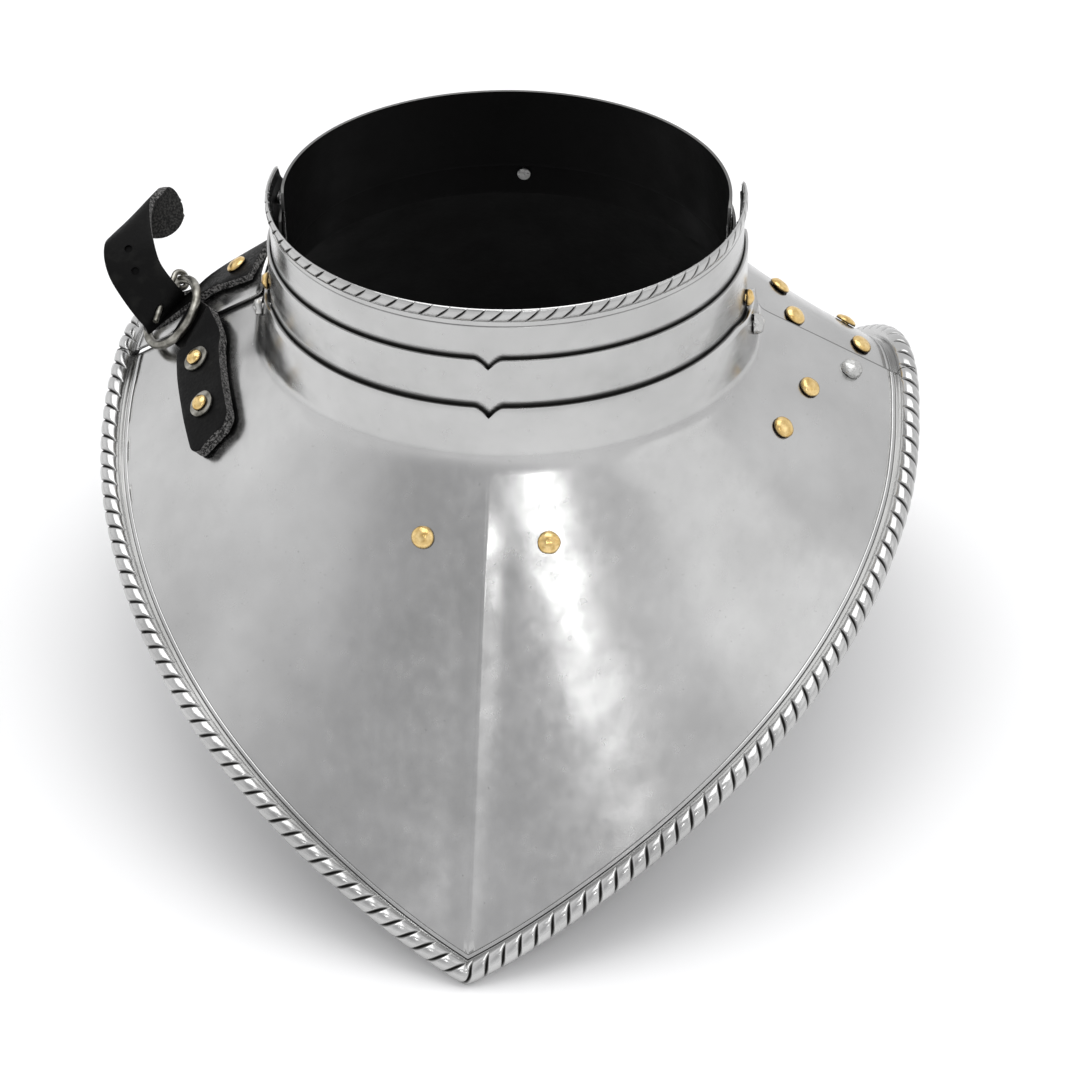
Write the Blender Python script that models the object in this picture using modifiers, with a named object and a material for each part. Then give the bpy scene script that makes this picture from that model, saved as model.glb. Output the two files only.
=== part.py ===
"""A steel gorget: pointed breast plate, back plate and lames round the neck, closed by a strap.

Metres, +Z up. The breast faces -Y and the strap is on the -X shoulder. The gorget stands on
the floor at Z = 0, on the point of the breast plate and on the lower rim of the back plate.
"""
import math

import bmesh
import bpy
from mathutils import Matrix, Vector

# Sheet metal
SHEET = 0.0011
LAYER_GAP = 0.0004
FRONT_PLAY = 0.0005
SEAT = 0.0003

# Neck opening, measured at the inmost lame, and the collar round it
STAND_HEIGHT = 0.1930
NECK_HALF_WIDTH = 0.0777
NECK_FRONT_DEPTH = 0.0640
NECK_BACK_DEPTH = 0.0640
COLLAR_FRONT_HEIGHT = 0.0590
CREASE_RISE = 0.0130
FLANGE_LEAN = 0.0030
NECK_FILLET = 0.0060

# Plates: how far they reach out from the neck, and how far they fall to the shoulders' rim
FRONT_REACH = 0.1150
SHOULDER_REACH = 0.0545
BACK_REACH = 0.0550
SHOULDER_FALL = 0.0325
ROLL_RADIUS = 0.0036
ROLL_SINK = 0.0008
FLOOR_FLAT = 0.0003
KEEL_RISE = 0.0022
KEEL_HALF_WIDTH = 0.0120
TUCK = 0.0100

# Where the plates end over the shoulders, in degrees from the breast
FRONT_END_RIGHT = 97.0
FRONT_END_LEFT = -101.5
BACK_START_RIGHT = 90.0
BACK_END_LEFT = 265.0
LAME_END = 102.0
BACK_LAME_START = 84.0
ROLL_PAUSE = 1.4

# Collar: heights over the neck's crease, drops below the top edge, and how deep lames hide
FLANGE_HEIGHT = 0.0205
FLANGE_SIDE_DROP = 0.0032
MIDDLE_SHARE = 0.52
LAME_LAP = 0.0100
BACK_LAP = 0.0150
LAME_FOOT = 0.0056
TOP_LAME_TAIL = 0.0018
END_ROUND = 0.0060
CUSP_DEPTH = 0.0040
CUSP_HALF_WIDTH = 0.0045
HEM_WIDTH = 0.0052
HEM_RISE = 0.0009
BACK_FLANGE_HEIGHT = 0.0160
BACK_MIDDLE_SHARE = 0.40
BACK_TOP_TAIL = 0.0020

# Rivets
RIVET_HEAD = 0.0040
RIVET_DOME = 0.0022
RIVET_SHANK = 0.0015
RIVET_TAIL = 0.0024
TAIL_HEIGHT = 0.0008
RIVET_SIDES = 8
HEAD_SEAT = 0.0008
SMALL_HEAD = 0.0031
HOLE_PLAY = 0.0004
HOLE_DEPTH = 0.0260
STEEL_PIVOT_HEIGHT = 0.0102
BRASS_PIVOT_RISE = 0.0010
PIVOT_ANGLE = 85.0
STUD_ANGLE = -96.0
STUD_DROP = 0.0110
BACK_STUD_LOW = 0.0060

# Straps
STRAP_WIDTH = 0.0190
STRAP = 0.0026
BUCKLE_STRAP = 0.0048
STRAP_HOLE = 0.0017
RIVET_HOLE_IN_LEATHER = 0.0019
WASHER_RADIUS = 0.0050
WASHER = 0.0009

# Buckle: a round ring tilted over the shoulder, held in the fold of its strap. The ways of its
# face and side are given down the plate's slope, along its rim and square to it.
RING_RADIUS = 0.01335
RING_WIRE = 0.00165
RING_ANGLE = -97.0
RING_SHARE = 0.62
RING_LIFT = 0.0080
RING_FACE = (0.1552, 0.1526, 0.9760)
RING_SIDE = (-0.7182, -0.6609, 0.2176)
RING_PLAY = 0.0003
FOLD_WALL = 0.0022
FOLD_SLOT = 0.00845
FOLD_RUN = 0.0030
FOLD_HALF_WIDTH = 0.0092
TONGUE_WIRE = 0.0010
TONGUE_HINGE = (0.01135, -0.00703, 0.0)
TONGUE_RUN = (
    # side, pull, face, from the ring's centre
    (0.0055, -0.0035, 0.0041),
    (-0.0004, -0.0003, 0.0051),
    (-0.0059, 0.0030, 0.0056),
)
PRONG_HOLE = (-0.0004, -0.0003, 0.0051)

LAYER = SHEET + LAYER_GAP
FRONT_LAYER = LAYER + FRONT_PLAY
BACK_OVER = LAYER + FRONT_PLAY
PLATE_LAYER = 5
NEAR_SHARE = 0.02
BACK_PLATE_LAYER = 2
FLANGE_DROP = COLLAR_FRONT_HEIGHT - FLANGE_HEIGHT
MIDDLE_DROP = MIDDLE_SHARE * FLANGE_DROP
BACK_FLANGE_DROP = COLLAR_FRONT_HEIGHT - CREASE_RISE - BACK_FLANGE_HEIGHT
BACK_MIDDLE_DROP = BACK_MIDDLE_SHARE * BACK_FLANGE_DROP
SHOULDER_RISE = STAND_HEIGHT - COLLAR_FRONT_HEIGHT - SHOULDER_FALL
NECK_Y = (FRONT_REACH + NECK_FRONT_DEPTH + PLATE_LAYER * FRONT_LAYER
          - BACK_REACH - NECK_BACK_DEPTH - PLATE_LAYER * LAYER) / 2.0

# The rim round one half of the gorget, from the breast (0) to the back (180).
# out: share of the way from the shoulder's reach to the breast's or the back's.
# rise: share of the shoulder's rise above the floor.
RIM_TABLE = (
    # angle, out, rise
    (0.0, 1.000, 0.000),
    (15.0, 0.740, 0.261),
    (30.0, 0.505, 0.475),
    (45.0, 0.296, 0.635),
    (60.0, 0.142, 0.765),
    (75.0, 0.050, 0.881),
    (90.0, 0.000, 0.995),
    (105.0, 0.000, 1.035),
    (120.0, 0.060, 0.830),
    (135.0, 0.320, 0.470),
    (150.0, 0.720, 0.150),
    (163.0, 0.960, 0.004),
    (180.0, 1.000, 0.000),
)


def clear_scene():
    for old in list(bpy.data.objects):
        bpy.data.objects.remove(old, do_unlink=True)


def make_collection(name):
    collection = bpy.data.collections.new(name)
    bpy.context.scene.collection.children.link(collection)
    return collection


def make_material(name, colour, metallic, roughness):
    material = bpy.data.materials.new(name)
    material.use_nodes = True
    shader = material.node_tree.nodes["Principled BSDF"]
    shader.inputs["Base Color"].default_value = (*colour, 1.0)
    shader.inputs["Metallic"].default_value = metallic
    shader.inputs["Roughness"].default_value = roughness
    return material


def smooth_step(value, low, high):
    share = min(max((value - low) / (high - low), 0.0), 1.0)
    return share * share * (3.0 - 2.0 * share)


def read_table(table, column, angle):
    """Smooth value of a column at an angle; the table is mirrored at its last row."""
    last = table[-1][0]
    rows = [(row[0], row[column]) for row in table]
    first_step = rows[1][0] - rows[0][0]
    rows.insert(0, (rows[0][0] - first_step, 2.0 * rows[0][1] - rows[1][1]))
    rows.append((2.0 * last - rows[-2][0], rows[-2][1]))
    for index in range(1, len(rows) - 2):
        if angle <= rows[index + 1][0] or index == len(rows) - 3:
            break
    (a0, v0), (a1, v1), (a2, v2), (a3, v3) = rows[index - 1:index + 3]
    slope_1 = (v2 - v0) / (a2 - a0)
    slope_2 = (v3 - v1) / (a3 - a1)
    width = a2 - a1
    t = (angle - a1) / width
    return (v1 * (1 + 2 * t) * (1 - t) ** 2 + slope_1 * width * t * (1 - t) ** 2
            + v2 * t * t * (3 - 2 * t) + slope_2 * width * t * t * (t - 1))


def fold(angle):
    """The same angle on the half from the breast (0) to the back (180)."""
    return abs((angle + 180.0) % 360.0 - 180.0)


def heading(angle):
    """Unit vector in plan away from the neck, 0 at the breast and 90 at the +X shoulder."""
    turn = math.radians(angle)
    return Vector((math.sin(turn), -math.cos(turn), 0.0))


def neck_point(angle, layer, height):
    """A point on the inner face of the collar's layer; the breast plate is layer 5."""
    way = heading(angle)
    half_width = NECK_HALF_WIDTH + layer * LAYER
    front = NECK_FRONT_DEPTH + layer * FRONT_LAYER
    back = NECK_BACK_DEPTH + layer * LAYER
    depth = front if way.y < 0.0 else back
    return Vector((half_width * way.x, NECK_Y + depth * way.y, height))


def base_height(angle):
    """Height of the crease between the collar and the plates."""
    lift = CREASE_RISE * smooth_step(fold(angle), 80.0, 116.0)
    return STAND_HEIGHT - COLLAR_FRONT_HEIGHT + lift


def rim_run(angle):
    """Reach and height of the plate's rim at an angle."""
    at = fold(angle)
    far = FRONT_REACH if at < 90.0 else BACK_REACH
    reach = SHOULDER_REACH + read_table(RIM_TABLE, 1, at) * (far - SHOULDER_REACH)
    rise = read_table(RIM_TABLE, 2, at) * SHOULDER_RISE
    fall = math.atan2(base_height(angle) - rise, reach)
    rest = (ROLL_RADIUS - ROLL_SINK) * (1.0 - math.cos(fall)) + ROLL_SINK - FLOOR_FLAT
    return reach, rise + rest


def slope_point(angle, share, lift):
    """A point on the underside of the plates, lifted square to it.

    share runs from 0 at the neck to 1 at the rim. Near the breast's middle the sheet stands up
    in a keel.
    """
    reach, rim_height = rim_run(angle)
    base = base_height(angle)
    fall = math.atan2(base - rim_height, reach)
    start = neck_point(angle, PLATE_LAYER, base) + heading(angle) * FLANGE_LEAN
    out = share * reach
    aside = abs(start.x + heading(angle).x * out)
    keel = KEEL_RISE * max(0.0, 1.0 - aside / KEEL_HALF_WIDTH) ** 2
    keel *= smooth_step(share, 0.0, 0.3) * (1.0 - smooth_step(share, 0.88, 1.0))
    keel = keel if fold(angle) < 90.0 else 0.0
    rise = lift + keel
    run = out + rise * math.sin(fall)
    height = base - share * (base - rim_height) + rise * math.cos(fall)
    return start + heading(angle) * run + Vector((0.0, 0.0, height - base))


def slope_normal(angle, share):
    along = slope_point(angle + 0.5, share, 0.0) - slope_point(angle - 0.5, share, 0.0)
    down = slope_point(angle, share + NEAR_SHARE, 0.0) - slope_point(angle, share - NEAR_SHARE, 0.0)
    normal = down.cross(along)
    if normal.z < 0.0:
        normal.negate()
    return normal.normalized()


def bulge(angle, share, radius):
    """How far the plate stands above its tangent plane within a radius of a point."""
    place = slope_point(angle, share, 0.0)
    normal = slope_normal(angle, share)
    most = 0.0
    for turn in range(0, 360, 30):
        aside = math.cos(math.radians(turn)) * radius
        down = math.sin(math.radians(turn)) * radius
        near = angle + math.degrees(aside / (place - neck_point(angle, 0, place.z)
                                             + heading(angle) * NECK_HALF_WIDTH).length)
        there = slope_point(near, share + down / rim_run(angle)[0], 0.0)
        most = max(most, (there - place).dot(normal))
    return most


def plate_column(angle, top_height, lift, inset, edge_share):
    """The sheet's underside at one angle: flange, fillet and slope down to the rim.

    inset: how far the flange stands inside the breast plate's own flange.
    """
    way = heading(angle)
    reach, rim_height = rim_run(angle)
    base = base_height(angle)
    fall = math.atan2(base - rim_height, reach)
    start = neck_point(angle, PLATE_LAYER, base) + way * (FLANGE_LEAN - inset)
    corner_height = base + inset * math.tan(fall) + lift / math.cos(fall)
    corner = Vector((start.x, start.y, corner_height))
    flange = max(top_height - corner_height, 0.0005)
    lean = FLANGE_LEAN * flange / FLANGE_HEIGHT if inset <= 0.0 else 0.0
    top = corner - way * lean + Vector((0.0, 0.0, flange))
    rise = min(NECK_FILLET, flange * 0.8)
    up_way = (top - corner).normalized()
    fillet_start = corner + up_way * rise
    share_0 = NECK_FILLET / reach
    fillet_end = slope_point(angle, share_0, lift)
    points = [top, top.lerp(fillet_start, 0.5), fillet_start]
    for t in (0.33, 0.67):
        points.append(fillet_start * (1 - t) ** 2 + corner * 2 * t * (1 - t) + fillet_end * t * t)
    points.append(fillet_end)
    for t in (0.3, 0.65, 1.0):
        points.append(slope_point(angle, share_0 + (edge_share - share_0) * t, lift))
    return points


def sheet_object(name, columns, material, collection):
    """Loft the columns into an open surface and give it the sheet's thickness outwards."""
    mesh = bpy.data.meshes.new(name)
    rows = len(columns[0])
    vertices = [point for column in columns for point in column]
    faces = []
    for i in range(len(columns) - 1):
        for j in range(rows - 1):
            a = i * rows + j
            faces.append((a, a + 1, a + 1 + rows, a + rows))
    mesh.from_pydata(vertices, [], faces)
    mesh.materials.append(material)
    made = bpy.data.objects.new(name, mesh)
    collection.objects.link(made)
    wall = made.modifiers.new("sheet", "SOLIDIFY")
    wall.thickness = SHEET
    wall.offset = 1.0
    wall.use_even_offset = True
    mesh.shade_smooth()
    mesh.set_sharp_from_angle(angle=math.radians(40))
    return made


def boolean(target, cutter, operation):
    """Cut or join with one object, or with all of a collection."""
    step = target.modifiers.new(operation.lower(), "BOOLEAN")
    step.operation = operation
    step.solver = "EXACT"
    if isinstance(cutter, bpy.types.Collection):
        step.operand_type = "COLLECTION"
        step.collection = cutter
    else:
        step.object = cutter


def hide_tool(tool):
    tool.hide_render = True
    tool.display_type = "WIRE"


def roll_object(name, angles, lift, tools):
    """The rolled rim: a round bead along the sheet's edge, flat where it meets the floor."""
    curve = bpy.data.curves.new(name, "CURVE")
    curve.dimensions = "3D"
    curve.bevel_depth = ROLL_RADIUS
    curve.bevel_resolution = 2
    curve.use_fill_caps = True
    spline = curve.splines.new("POLY")
    spline.points.add(len(angles) - 1)
    for point, angle in zip(spline.points, angles):
        place = slope_point(angle, 1.0, ROLL_RADIUS - ROLL_SINK + lift)
        point.co = (*place, 1.0)
    guide = bpy.data.objects.new(name, curve)
    tools.objects.link(guide)
    bpy.context.view_layer.update()
    seen = guide.evaluated_get(bpy.context.evaluated_depsgraph_get())
    mesh = bpy.data.meshes.new_from_object(seen)
    bpy.data.objects.remove(guide)
    shape = bmesh.new()
    shape.from_mesh(mesh)
    bmesh.ops.remove_doubles(shape, verts=shape.verts, dist=0.00005)
    below = shape.verts[:] + shape.edges[:] + shape.faces[:]
    cut = bmesh.ops.bisect_plane(shape, geom=below, plane_co=(0, 0, 0), plane_no=(0, 0, -1),
                                 clear_outer=True)
    edges = [part for part in cut["geom_cut"] if isinstance(part, bmesh.types.BMEdge)]
    if edges:
        bmesh.ops.holes_fill(shape, edges=edges)
    bmesh.ops.recalc_face_normals(shape, faces=shape.faces)
    shape.to_mesh(mesh)
    shape.free()
    made = bpy.data.objects.new(name, mesh)
    tools.objects.link(made)
    hide_tool(made)
    return made


def spread(start, end, step):
    """Angles from start to end, evenly spaced, closest to the step asked for."""
    count = max(1, round(abs(end - start) / step))
    return [start + (end - start) * i / count for i in range(count + 1)]


def front_angles(left, right, step):
    """Angles across the breast, with close ones at the cusp in the middle."""
    cusp = math.degrees(math.asin(CUSP_HALF_WIDTH / NECK_HALF_WIDTH))
    middle = [-cusp, -0.55 * cusp, -0.25 * cusp, 0.0, 0.25 * cusp, 0.55 * cusp, cusp]
    return spread(left, -2.0 * cusp, step) + middle + spread(2.0 * cusp, right, step)


def cusp_drop(angle):
    """How far the small cusp in a top edge drops, at an angle."""
    aside = abs(NECK_HALF_WIDTH * math.sin(math.radians(angle)))
    return CUSP_DEPTH * max(0.0, 1.0 - aside / CUSP_HALF_WIDTH) ** 1.5


def end_round(angle, start, end):
    """How far a collar edge is cut back to round its ends."""
    near = math.radians(min(angle - start, end - angle)) * NECK_HALF_WIDTH
    share = max(0.0, 1.0 - near / END_ROUND)
    return END_ROUND * (1.0 - math.sqrt(max(0.0, 1.0 - share * share)))


def orient(normal):
    """Rotation that turns +Z to the normal."""
    return Vector((0.0, 0.0, 1.0)).rotation_difference(normal).to_matrix().to_4x4()


def steel_pivot():
    """A point on the axis through the steel side rivets, which the middle lame turns on."""
    height = STAND_HEIGHT - COLLAR_FRONT_HEIGHT + STEEL_PIVOT_HEIGHT
    return Vector((0.0, neck_point(PIVOT_ANGLE, PLATE_LAYER, height).y, height))


def brass_pivot():
    """A point on the axis through the brass side rivets, which the top lame turns on."""
    height = STAND_HEIGHT - FLANGE_DROP + BRASS_PIVOT_RISE
    return Vector((0.0, steel_pivot().y, height))


def hang_on(piece, pivot):
    """Put a moving piece under an empty on the axis it turns on, without moving it."""
    axis = bpy.data.objects.new(piece.name + "_axis", None)
    axis.location = pivot
    axis.empty_display_size = RIVET_HEAD
    piece.users_collection[0].objects.link(axis)
    piece.parent = axis
    piece.matrix_parent_inverse = Matrix.Translation(-pivot)


class Rivets:
    """Rivets and the holes they need in each sheet that they pass through."""

    def __init__(self, parts, tools):
        self.parts = parts
        self.holes = {}
        self.tools = tools

    def hole_in(self, sheet_name, place, normal, radius):
        if sheet_name not in self.holes:
            self.holes[sheet_name] = make_collection("holes_" + sheet_name)
            self.tools.children.link(self.holes[sheet_name])
            bpy.context.scene.collection.children.unlink(self.holes[sheet_name])
        mesh = bpy.data.meshes.new("hole")
        shape = bmesh.new()
        bmesh.ops.create_cone(shape, cap_ends=True, segments=8, radius1=radius, radius2=radius,
                              depth=HOLE_DEPTH)
        shape.to_mesh(mesh)
        shape.free()
        cutter = bpy.data.objects.new("hole_" + sheet_name, mesh)
        cutter.matrix_world = Matrix.Translation(place) @ orient(normal)
        self.holes[sheet_name].objects.link(cutter)
        hide_tool(cutter)

    def add(self, name, place, normal, grip, material, sheets, head=RIVET_HEAD,
            dome=RIVET_DOME, seat=SEAT):
        """A rivet whose head seats at place and whose tail closes below the grip."""
        low = -grip - seat
        profile = (
            (0.0, seat + dome),
            (head * 0.62, seat + dome * 0.78),
            (head, seat + dome * 0.12),
            (head * 0.94, seat),
            (RIVET_SHANK, seat),
            (RIVET_SHANK, low),
            (RIVET_TAIL, low),
            (RIVET_TAIL * 0.75, low - TAIL_HEIGHT),
            (0.0, low - TAIL_HEIGHT),
        )
        mesh = bpy.data.meshes.new(name)
        edges = [(i, i + 1) for i in range(len(profile) - 1)]
        mesh.from_pydata([(x, 0.0, z) for x, z in profile], edges, [])
        mesh.materials.append(material)
        made = bpy.data.objects.new(name, mesh)
        made.matrix_world = Matrix.Translation(place) @ orient(normal)
        self.parts.objects.link(made)
        turn = made.modifiers.new("turn", "SCREW")
        turn.steps = RIVET_SIDES
        turn.render_steps = RIVET_SIDES
        turn.use_merge_vertices = True
        turn.merge_threshold = 0.00001
        turn.use_smooth_shade = True
        for sheet_name in sheets:
            self.hole_in(sheet_name, place, normal, RIVET_SHANK + HOLE_PLAY)
        return made


def plate_rivets(rivets, steel, brass):
    """Rivets of the plates: two on the breast, one steel pivot and six brass on the shoulder."""
    for name, angle, share, lift, sheets, metal, dome in (
            ("rivet_breast_right", 11.5, 0.19, 0.0, ("front_plate",), brass, RIVET_DOME),
            ("rivet_breast_left", -11.5, 0.19, 0.0, ("front_plate",), brass, RIVET_DOME),
            ("rivet_shoulder_front", 68.5, 0.30, 0.0, ("front_plate",), brass, RIVET_DOME),
            ("rivet_shoulder_mid", 82.5, 0.36, 0.0, ("front_plate",), brass, RIVET_DOME),
            ("rivet_pivot", 92.5, 0.62, 0.0, ("front_plate", "back_plate"), steel,
             1.5 * RIVET_DOME),
            ("rivet_back_near_front", 100.5, 0.28, -LAYER, ("back_plate",), brass, RIVET_DOME),
            ("rivet_back_rim_front", 101.0, 0.74, -LAYER, ("back_plate",), brass, RIVET_DOME),
            ("rivet_back_near", 110.0, 0.25, -LAYER, ("back_plate",), brass, RIVET_DOME),
            ("rivet_back_rim", 110.0, 0.73, -LAYER, ("back_plate",), brass, RIVET_DOME)):
        grip = SHEET + (len(sheets) - 1) * LAYER
        place = slope_point(angle, share, lift + SHEET)
        seat = HEAD_SEAT + bulge(angle, share, RIVET_HEAD)
        rivets.add(name, place, slope_normal(angle, share), grip, metal, sheets, dome=dome,
                   seat=seat)


def collar_rivets(rivets, steel, brass):
    """Rivets of the collar: two steel and two brass ones at the sides, and a stud at each end."""
    for side, word in ((1.0, "right"), (-1.0, "left")):
        out = Vector((side, 0.0, 0.0))
        y = steel_pivot().y
        turn = math.radians(PIVOT_ANGLE)
        height = steel_pivot().z
        tall = height - base_height(PIVOT_ANGLE)
        lean = FLANGE_LEAN * (1.0 - tall / FLANGE_HEIGHT)
        x = (NECK_HALF_WIDTH + PLATE_LAYER * LAYER) * math.sin(turn) + lean + SHEET
        grip = x - (NECK_HALF_WIDTH + (PLATE_LAYER - 1) * LAYER) * math.sin(turn)
        rivets.add("rivet_steel_" + word, Vector((side * x, y, height)), out, grip, steel,
                   ("front_plate", "front_lame_middle"), head=0.0036, seat=HEAD_SEAT)
        height = brass_pivot().z
        x = (NECK_HALF_WIDTH + (PLATE_LAYER - 1) * LAYER) * math.sin(turn) + SHEET + SEAT
        grip = LAYER + SHEET + SEAT
        made = rivets.add("rivet_brass_" + word, Vector((side * x, y, height)), out, grip,
                          brass, ("front_lame_middle", "front_lame_top"), head=SMALL_HEAD,
                          seat=HEAD_SEAT)
        hang_on(made, steel_pivot())
    place = neck_point(STUD_ANGLE, 3, STAND_HEIGHT - STUD_DROP) + heading(STUD_ANGLE) * SHEET
    stud = rivets.add("stud_front_lame", place, heading(STUD_ANGLE), SHEET, steel,
                      ("front_lame_top",), head=0.0026, dome=0.0014)
    hang_on(stud, brass_pivot())
    height = STAND_HEIGHT - BACK_FLANGE_DROP - BACK_STUD_LOW
    place = neck_point(180.0, BACK_PLATE_LAYER, height)
    rivets.add("rivet_back_collar", place + heading(180.0) * SHEET, heading(180.0),
               SHEET + LAYER, steel, ("back_plate", "back_lame_middle"))


def ring_frame():
    """Centre of the buckle's ring, and its directions: side, pull to its strap, and face."""
    above = slope_point(RING_ANGLE, RING_SHARE - NEAR_SHARE, 0.0)
    below = slope_point(RING_ANGLE, RING_SHARE + NEAR_SHARE, 0.0)
    down = (below - above).normalized()
    square = slope_normal(RING_ANGLE, RING_SHARE)
    plate_ways = Matrix((down, square.cross(down), square)).transposed()
    face = (plate_ways @ Vector(RING_FACE)).normalized()
    side = plate_ways @ Vector(RING_SIDE)
    side = (side - face * side.dot(face)).normalized()
    pull = side.cross(face)
    centre = slope_point(RING_ANGLE, RING_SHARE, RING_LIFT)
    return centre, side, pull, face


def ring_place(side_run, pull_run, face_run):
    centre, side, pull, face = ring_frame()
    return centre + side * side_run + pull * pull_run + face * face_run


def ring_way(side_run, pull_run, face_run):
    return ring_place(side_run, pull_run, face_run) - ring_place(0.0, 0.0, 0.0)


def bend(rows, parts_between):
    """Smooth run through rows of (centre, width way), both eased between the rows."""
    smooth = []
    for i in range(len(rows) - 1):
        before = rows[max(i - 1, 0)]
        after = rows[min(i + 2, len(rows) - 1)]
        for step in range(parts_between):
            t = step / parts_between
            made = []
            for k in range(2):
                p0, p1, p2, p3 = before[k], rows[i][k], rows[i + 1][k], after[k]
                made.append(0.5 * (2.0 * p1 + (p2 - p0) * t
                                   + (2.0 * p0 - 5.0 * p1 + 4.0 * p2 - p3) * t * t
                                   + (3.0 * p1 - p0 - 3.0 * p2 + p3) * t * t * t))
            smooth.append(made)
    smooth.append(rows[-1])
    return smooth


def leather_object(name, rows, thickness, material, collection):
    """A band of leather along rows of (centre, width vector)."""
    columns = [[place - wide * 0.5, place, place + wide * 0.5] for place, wide in rows]
    band = sheet_object(name, columns, material, collection)
    band.modifiers["sheet"].thickness = thickness
    band.modifiers["sheet"].offset = 0.0
    return band


def back_strap_rows():
    """From its riveted end over the back plate, up through the ring, to the curled free end."""
    lift = BACK_OVER + SHEET + SEAT + STRAP * 0.5
    rows = []
    for angle, share in ((-106.0, 0.10), (-105.8, 0.26), (-105.5, 0.40)):
        wide = slope_point(angle - 3.0, share, 0.0) - slope_point(angle + 3.0, share, 0.0)
        rows.append((slope_point(angle, share, lift), wide.normalized() * STRAP_WIDTH))
    for side, pull, face, wide_side, wide_pull, wide_face in (
            # all in shares of the strap's width, from the ring's centre
            (0.00, -0.09, -0.02, 0.98, -0.06, -0.22),
            (-0.02, -0.02, 0.22, 0.98, 0.05, -0.30),
            (0.10, -0.18, 0.53, 0.90, 0.33, -0.45),
            (0.30, -0.48, 0.87, 0.82, 0.40, -0.55),
            (0.58, -0.76, 1.08, 0.84, 0.36, -0.50),
            (0.86, -1.05, 1.14, 0.90, 0.16, -0.42),
            (1.12, -1.36, 1.02, 0.92, 0.02, -0.24),
            (1.32, -1.55, 0.75, 0.92, -0.10, -0.06),
            (1.50, -1.63, 0.40, 0.90, -0.20, 0.06)):
        wide = ring_way(wide_side, wide_pull, wide_face).normalized() * STRAP_WIDTH
        rows.append((ring_place(side * STRAP_WIDTH, pull * STRAP_WIDTH, face * STRAP_WIDTH), wide))
    return rows


def bore(target, tools, place, way, radius):
    """Punch a round hole through a strap."""
    mesh = bpy.data.meshes.new("punch")
    shape = bmesh.new()
    bmesh.ops.create_cone(shape, cap_ends=True, segments=8, radius1=radius, radius2=radius,
                          depth=3.0 * BUCKLE_STRAP)
    shape.to_mesh(mesh)
    shape.free()
    punch = bpy.data.objects.new("punch_" + target.name, mesh)
    punch.matrix_world = Matrix.Translation(place) @ orient(way)
    tools.objects.link(punch)
    hide_tool(punch)
    boolean(target, punch, "DIFFERENCE")


def row_normal(rows, index):
    run = rows[min(index + 1, len(rows) - 1)][0] - rows[max(index - 1, 0)][0]
    return run.cross(rows[index][1]).normalized()


def build_back_strap(parts, tools, rivets, leather, brass):
    """Black strap, riveted to the back plate, with three holes; the prong stands in the first."""
    marks = back_strap_rows()
    rows = bend(marks, 3)
    strap = leather_object("back_strap", rows, STRAP, leather, parts)
    way = ring_way(*TONGUE_RUN[-1]) - ring_way(*TONGUE_RUN[-2])
    bore(strap, tools, ring_place(*PRONG_HOLE), way.normalized(), STRAP_HOLE)
    for at in (6, 7):
        place = marks[at][0]
        bore(strap, tools, place, row_normal(marks, at), STRAP_HOLE)
    normal = slope_normal(-105.8, 0.26)
    place = marks[1][0] + normal * STRAP * 0.5
    bore(strap, tools, place, normal, RIVET_HOLE_IN_LEATHER)
    rivets.add("rivet_back_strap", place, normal, STRAP + SEAT + SHEET, brass, ("back_plate",),
               seat=HEAD_SEAT)


def build_buckle_strap(parts, tools, rivets, leather, brass, washer_steel):
    """Short double strap on the breast plate, folded round the ring, with two washered rivets."""
    lift = SHEET + 2.0 * SEAT + BUCKLE_STRAP * 0.5 + HOLE_PLAY
    rows = []
    for angle, share in ((-61.0, 0.38), (-69.0, 0.36), (-77.0, 0.36), (-82.0, 0.37),
                         (-86.5, 0.38)):
        wide = slope_point(angle, share - 0.1, 0.0) - slope_point(angle, share + 0.1, 0.0)
        rows.append((slope_point(angle, share, lift), wide.normalized() * STRAP_WIDTH))
    for ring_radii in (1.50, 1.35):
        wide = 2.0 * (FOLD_HALF_WIDTH - HOLE_PLAY)
        rows.append((ring_place(0.0, ring_radii * RING_RADIUS, 0.0), ring_way(wide, 0.0, 0.0)))
    strap = leather_object("buckle_strap", bend(rows, 3), BUCKLE_STRAP, leather, parts)
    inner = RING_WIRE + RING_PLAY
    outer = inner + FOLD_WALL
    far = RING_RADIUS + RING_WIRE + RING_PLAY
    near = far - FOLD_SLOT
    end = near - FOLD_WALL
    half = BUCKLE_STRAP * 0.5
    top = ((end, 0.0), (end + 0.2 * FOLD_WALL, 0.6 * outer), (near, outer),
           (far - 0.5 * FOLD_RUN, outer), (far + FOLD_WALL + FOLD_RUN, half + 0.5 * HOLE_PLAY),
           (far + FOLD_WALL + 1.2 * FOLD_RUN, 0.0))
    outline = top + tuple((pull, -face) for pull, face in reversed(top[1:-1]))
    fold_body = prism("fold", outline, FOLD_HALF_WIDTH, tools)
    boolean(strap, fold_body, "UNION")
    slot = ((near, -inner), (far, -inner), (far, inner), (near, inner))
    boolean(strap, prism("fold_slot", slot, 2.0 * FOLD_HALF_WIDTH, tools), "DIFFERENCE")
    for name, angle, share in (("upper", -81.5, 0.37), ("lower", -69.0, 0.36)):
        normal = slope_normal(angle, share)
        place = slope_point(angle, share, lift + BUCKLE_STRAP * 0.5 + SEAT + WASHER)
        bore(strap, tools, place, normal, RIVET_HOLE_IN_LEATHER)
        build_washer("washer_" + name, place - normal * WASHER, normal, washer_steel, parts)
        grip = lift + BUCKLE_STRAP * 0.5 + SEAT + WASHER
        rivets.add("rivet_buckle_strap_" + name, place, normal, grip, brass, ("front_plate",),
                   head=SMALL_HEAD, seat=HEAD_SEAT)


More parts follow.
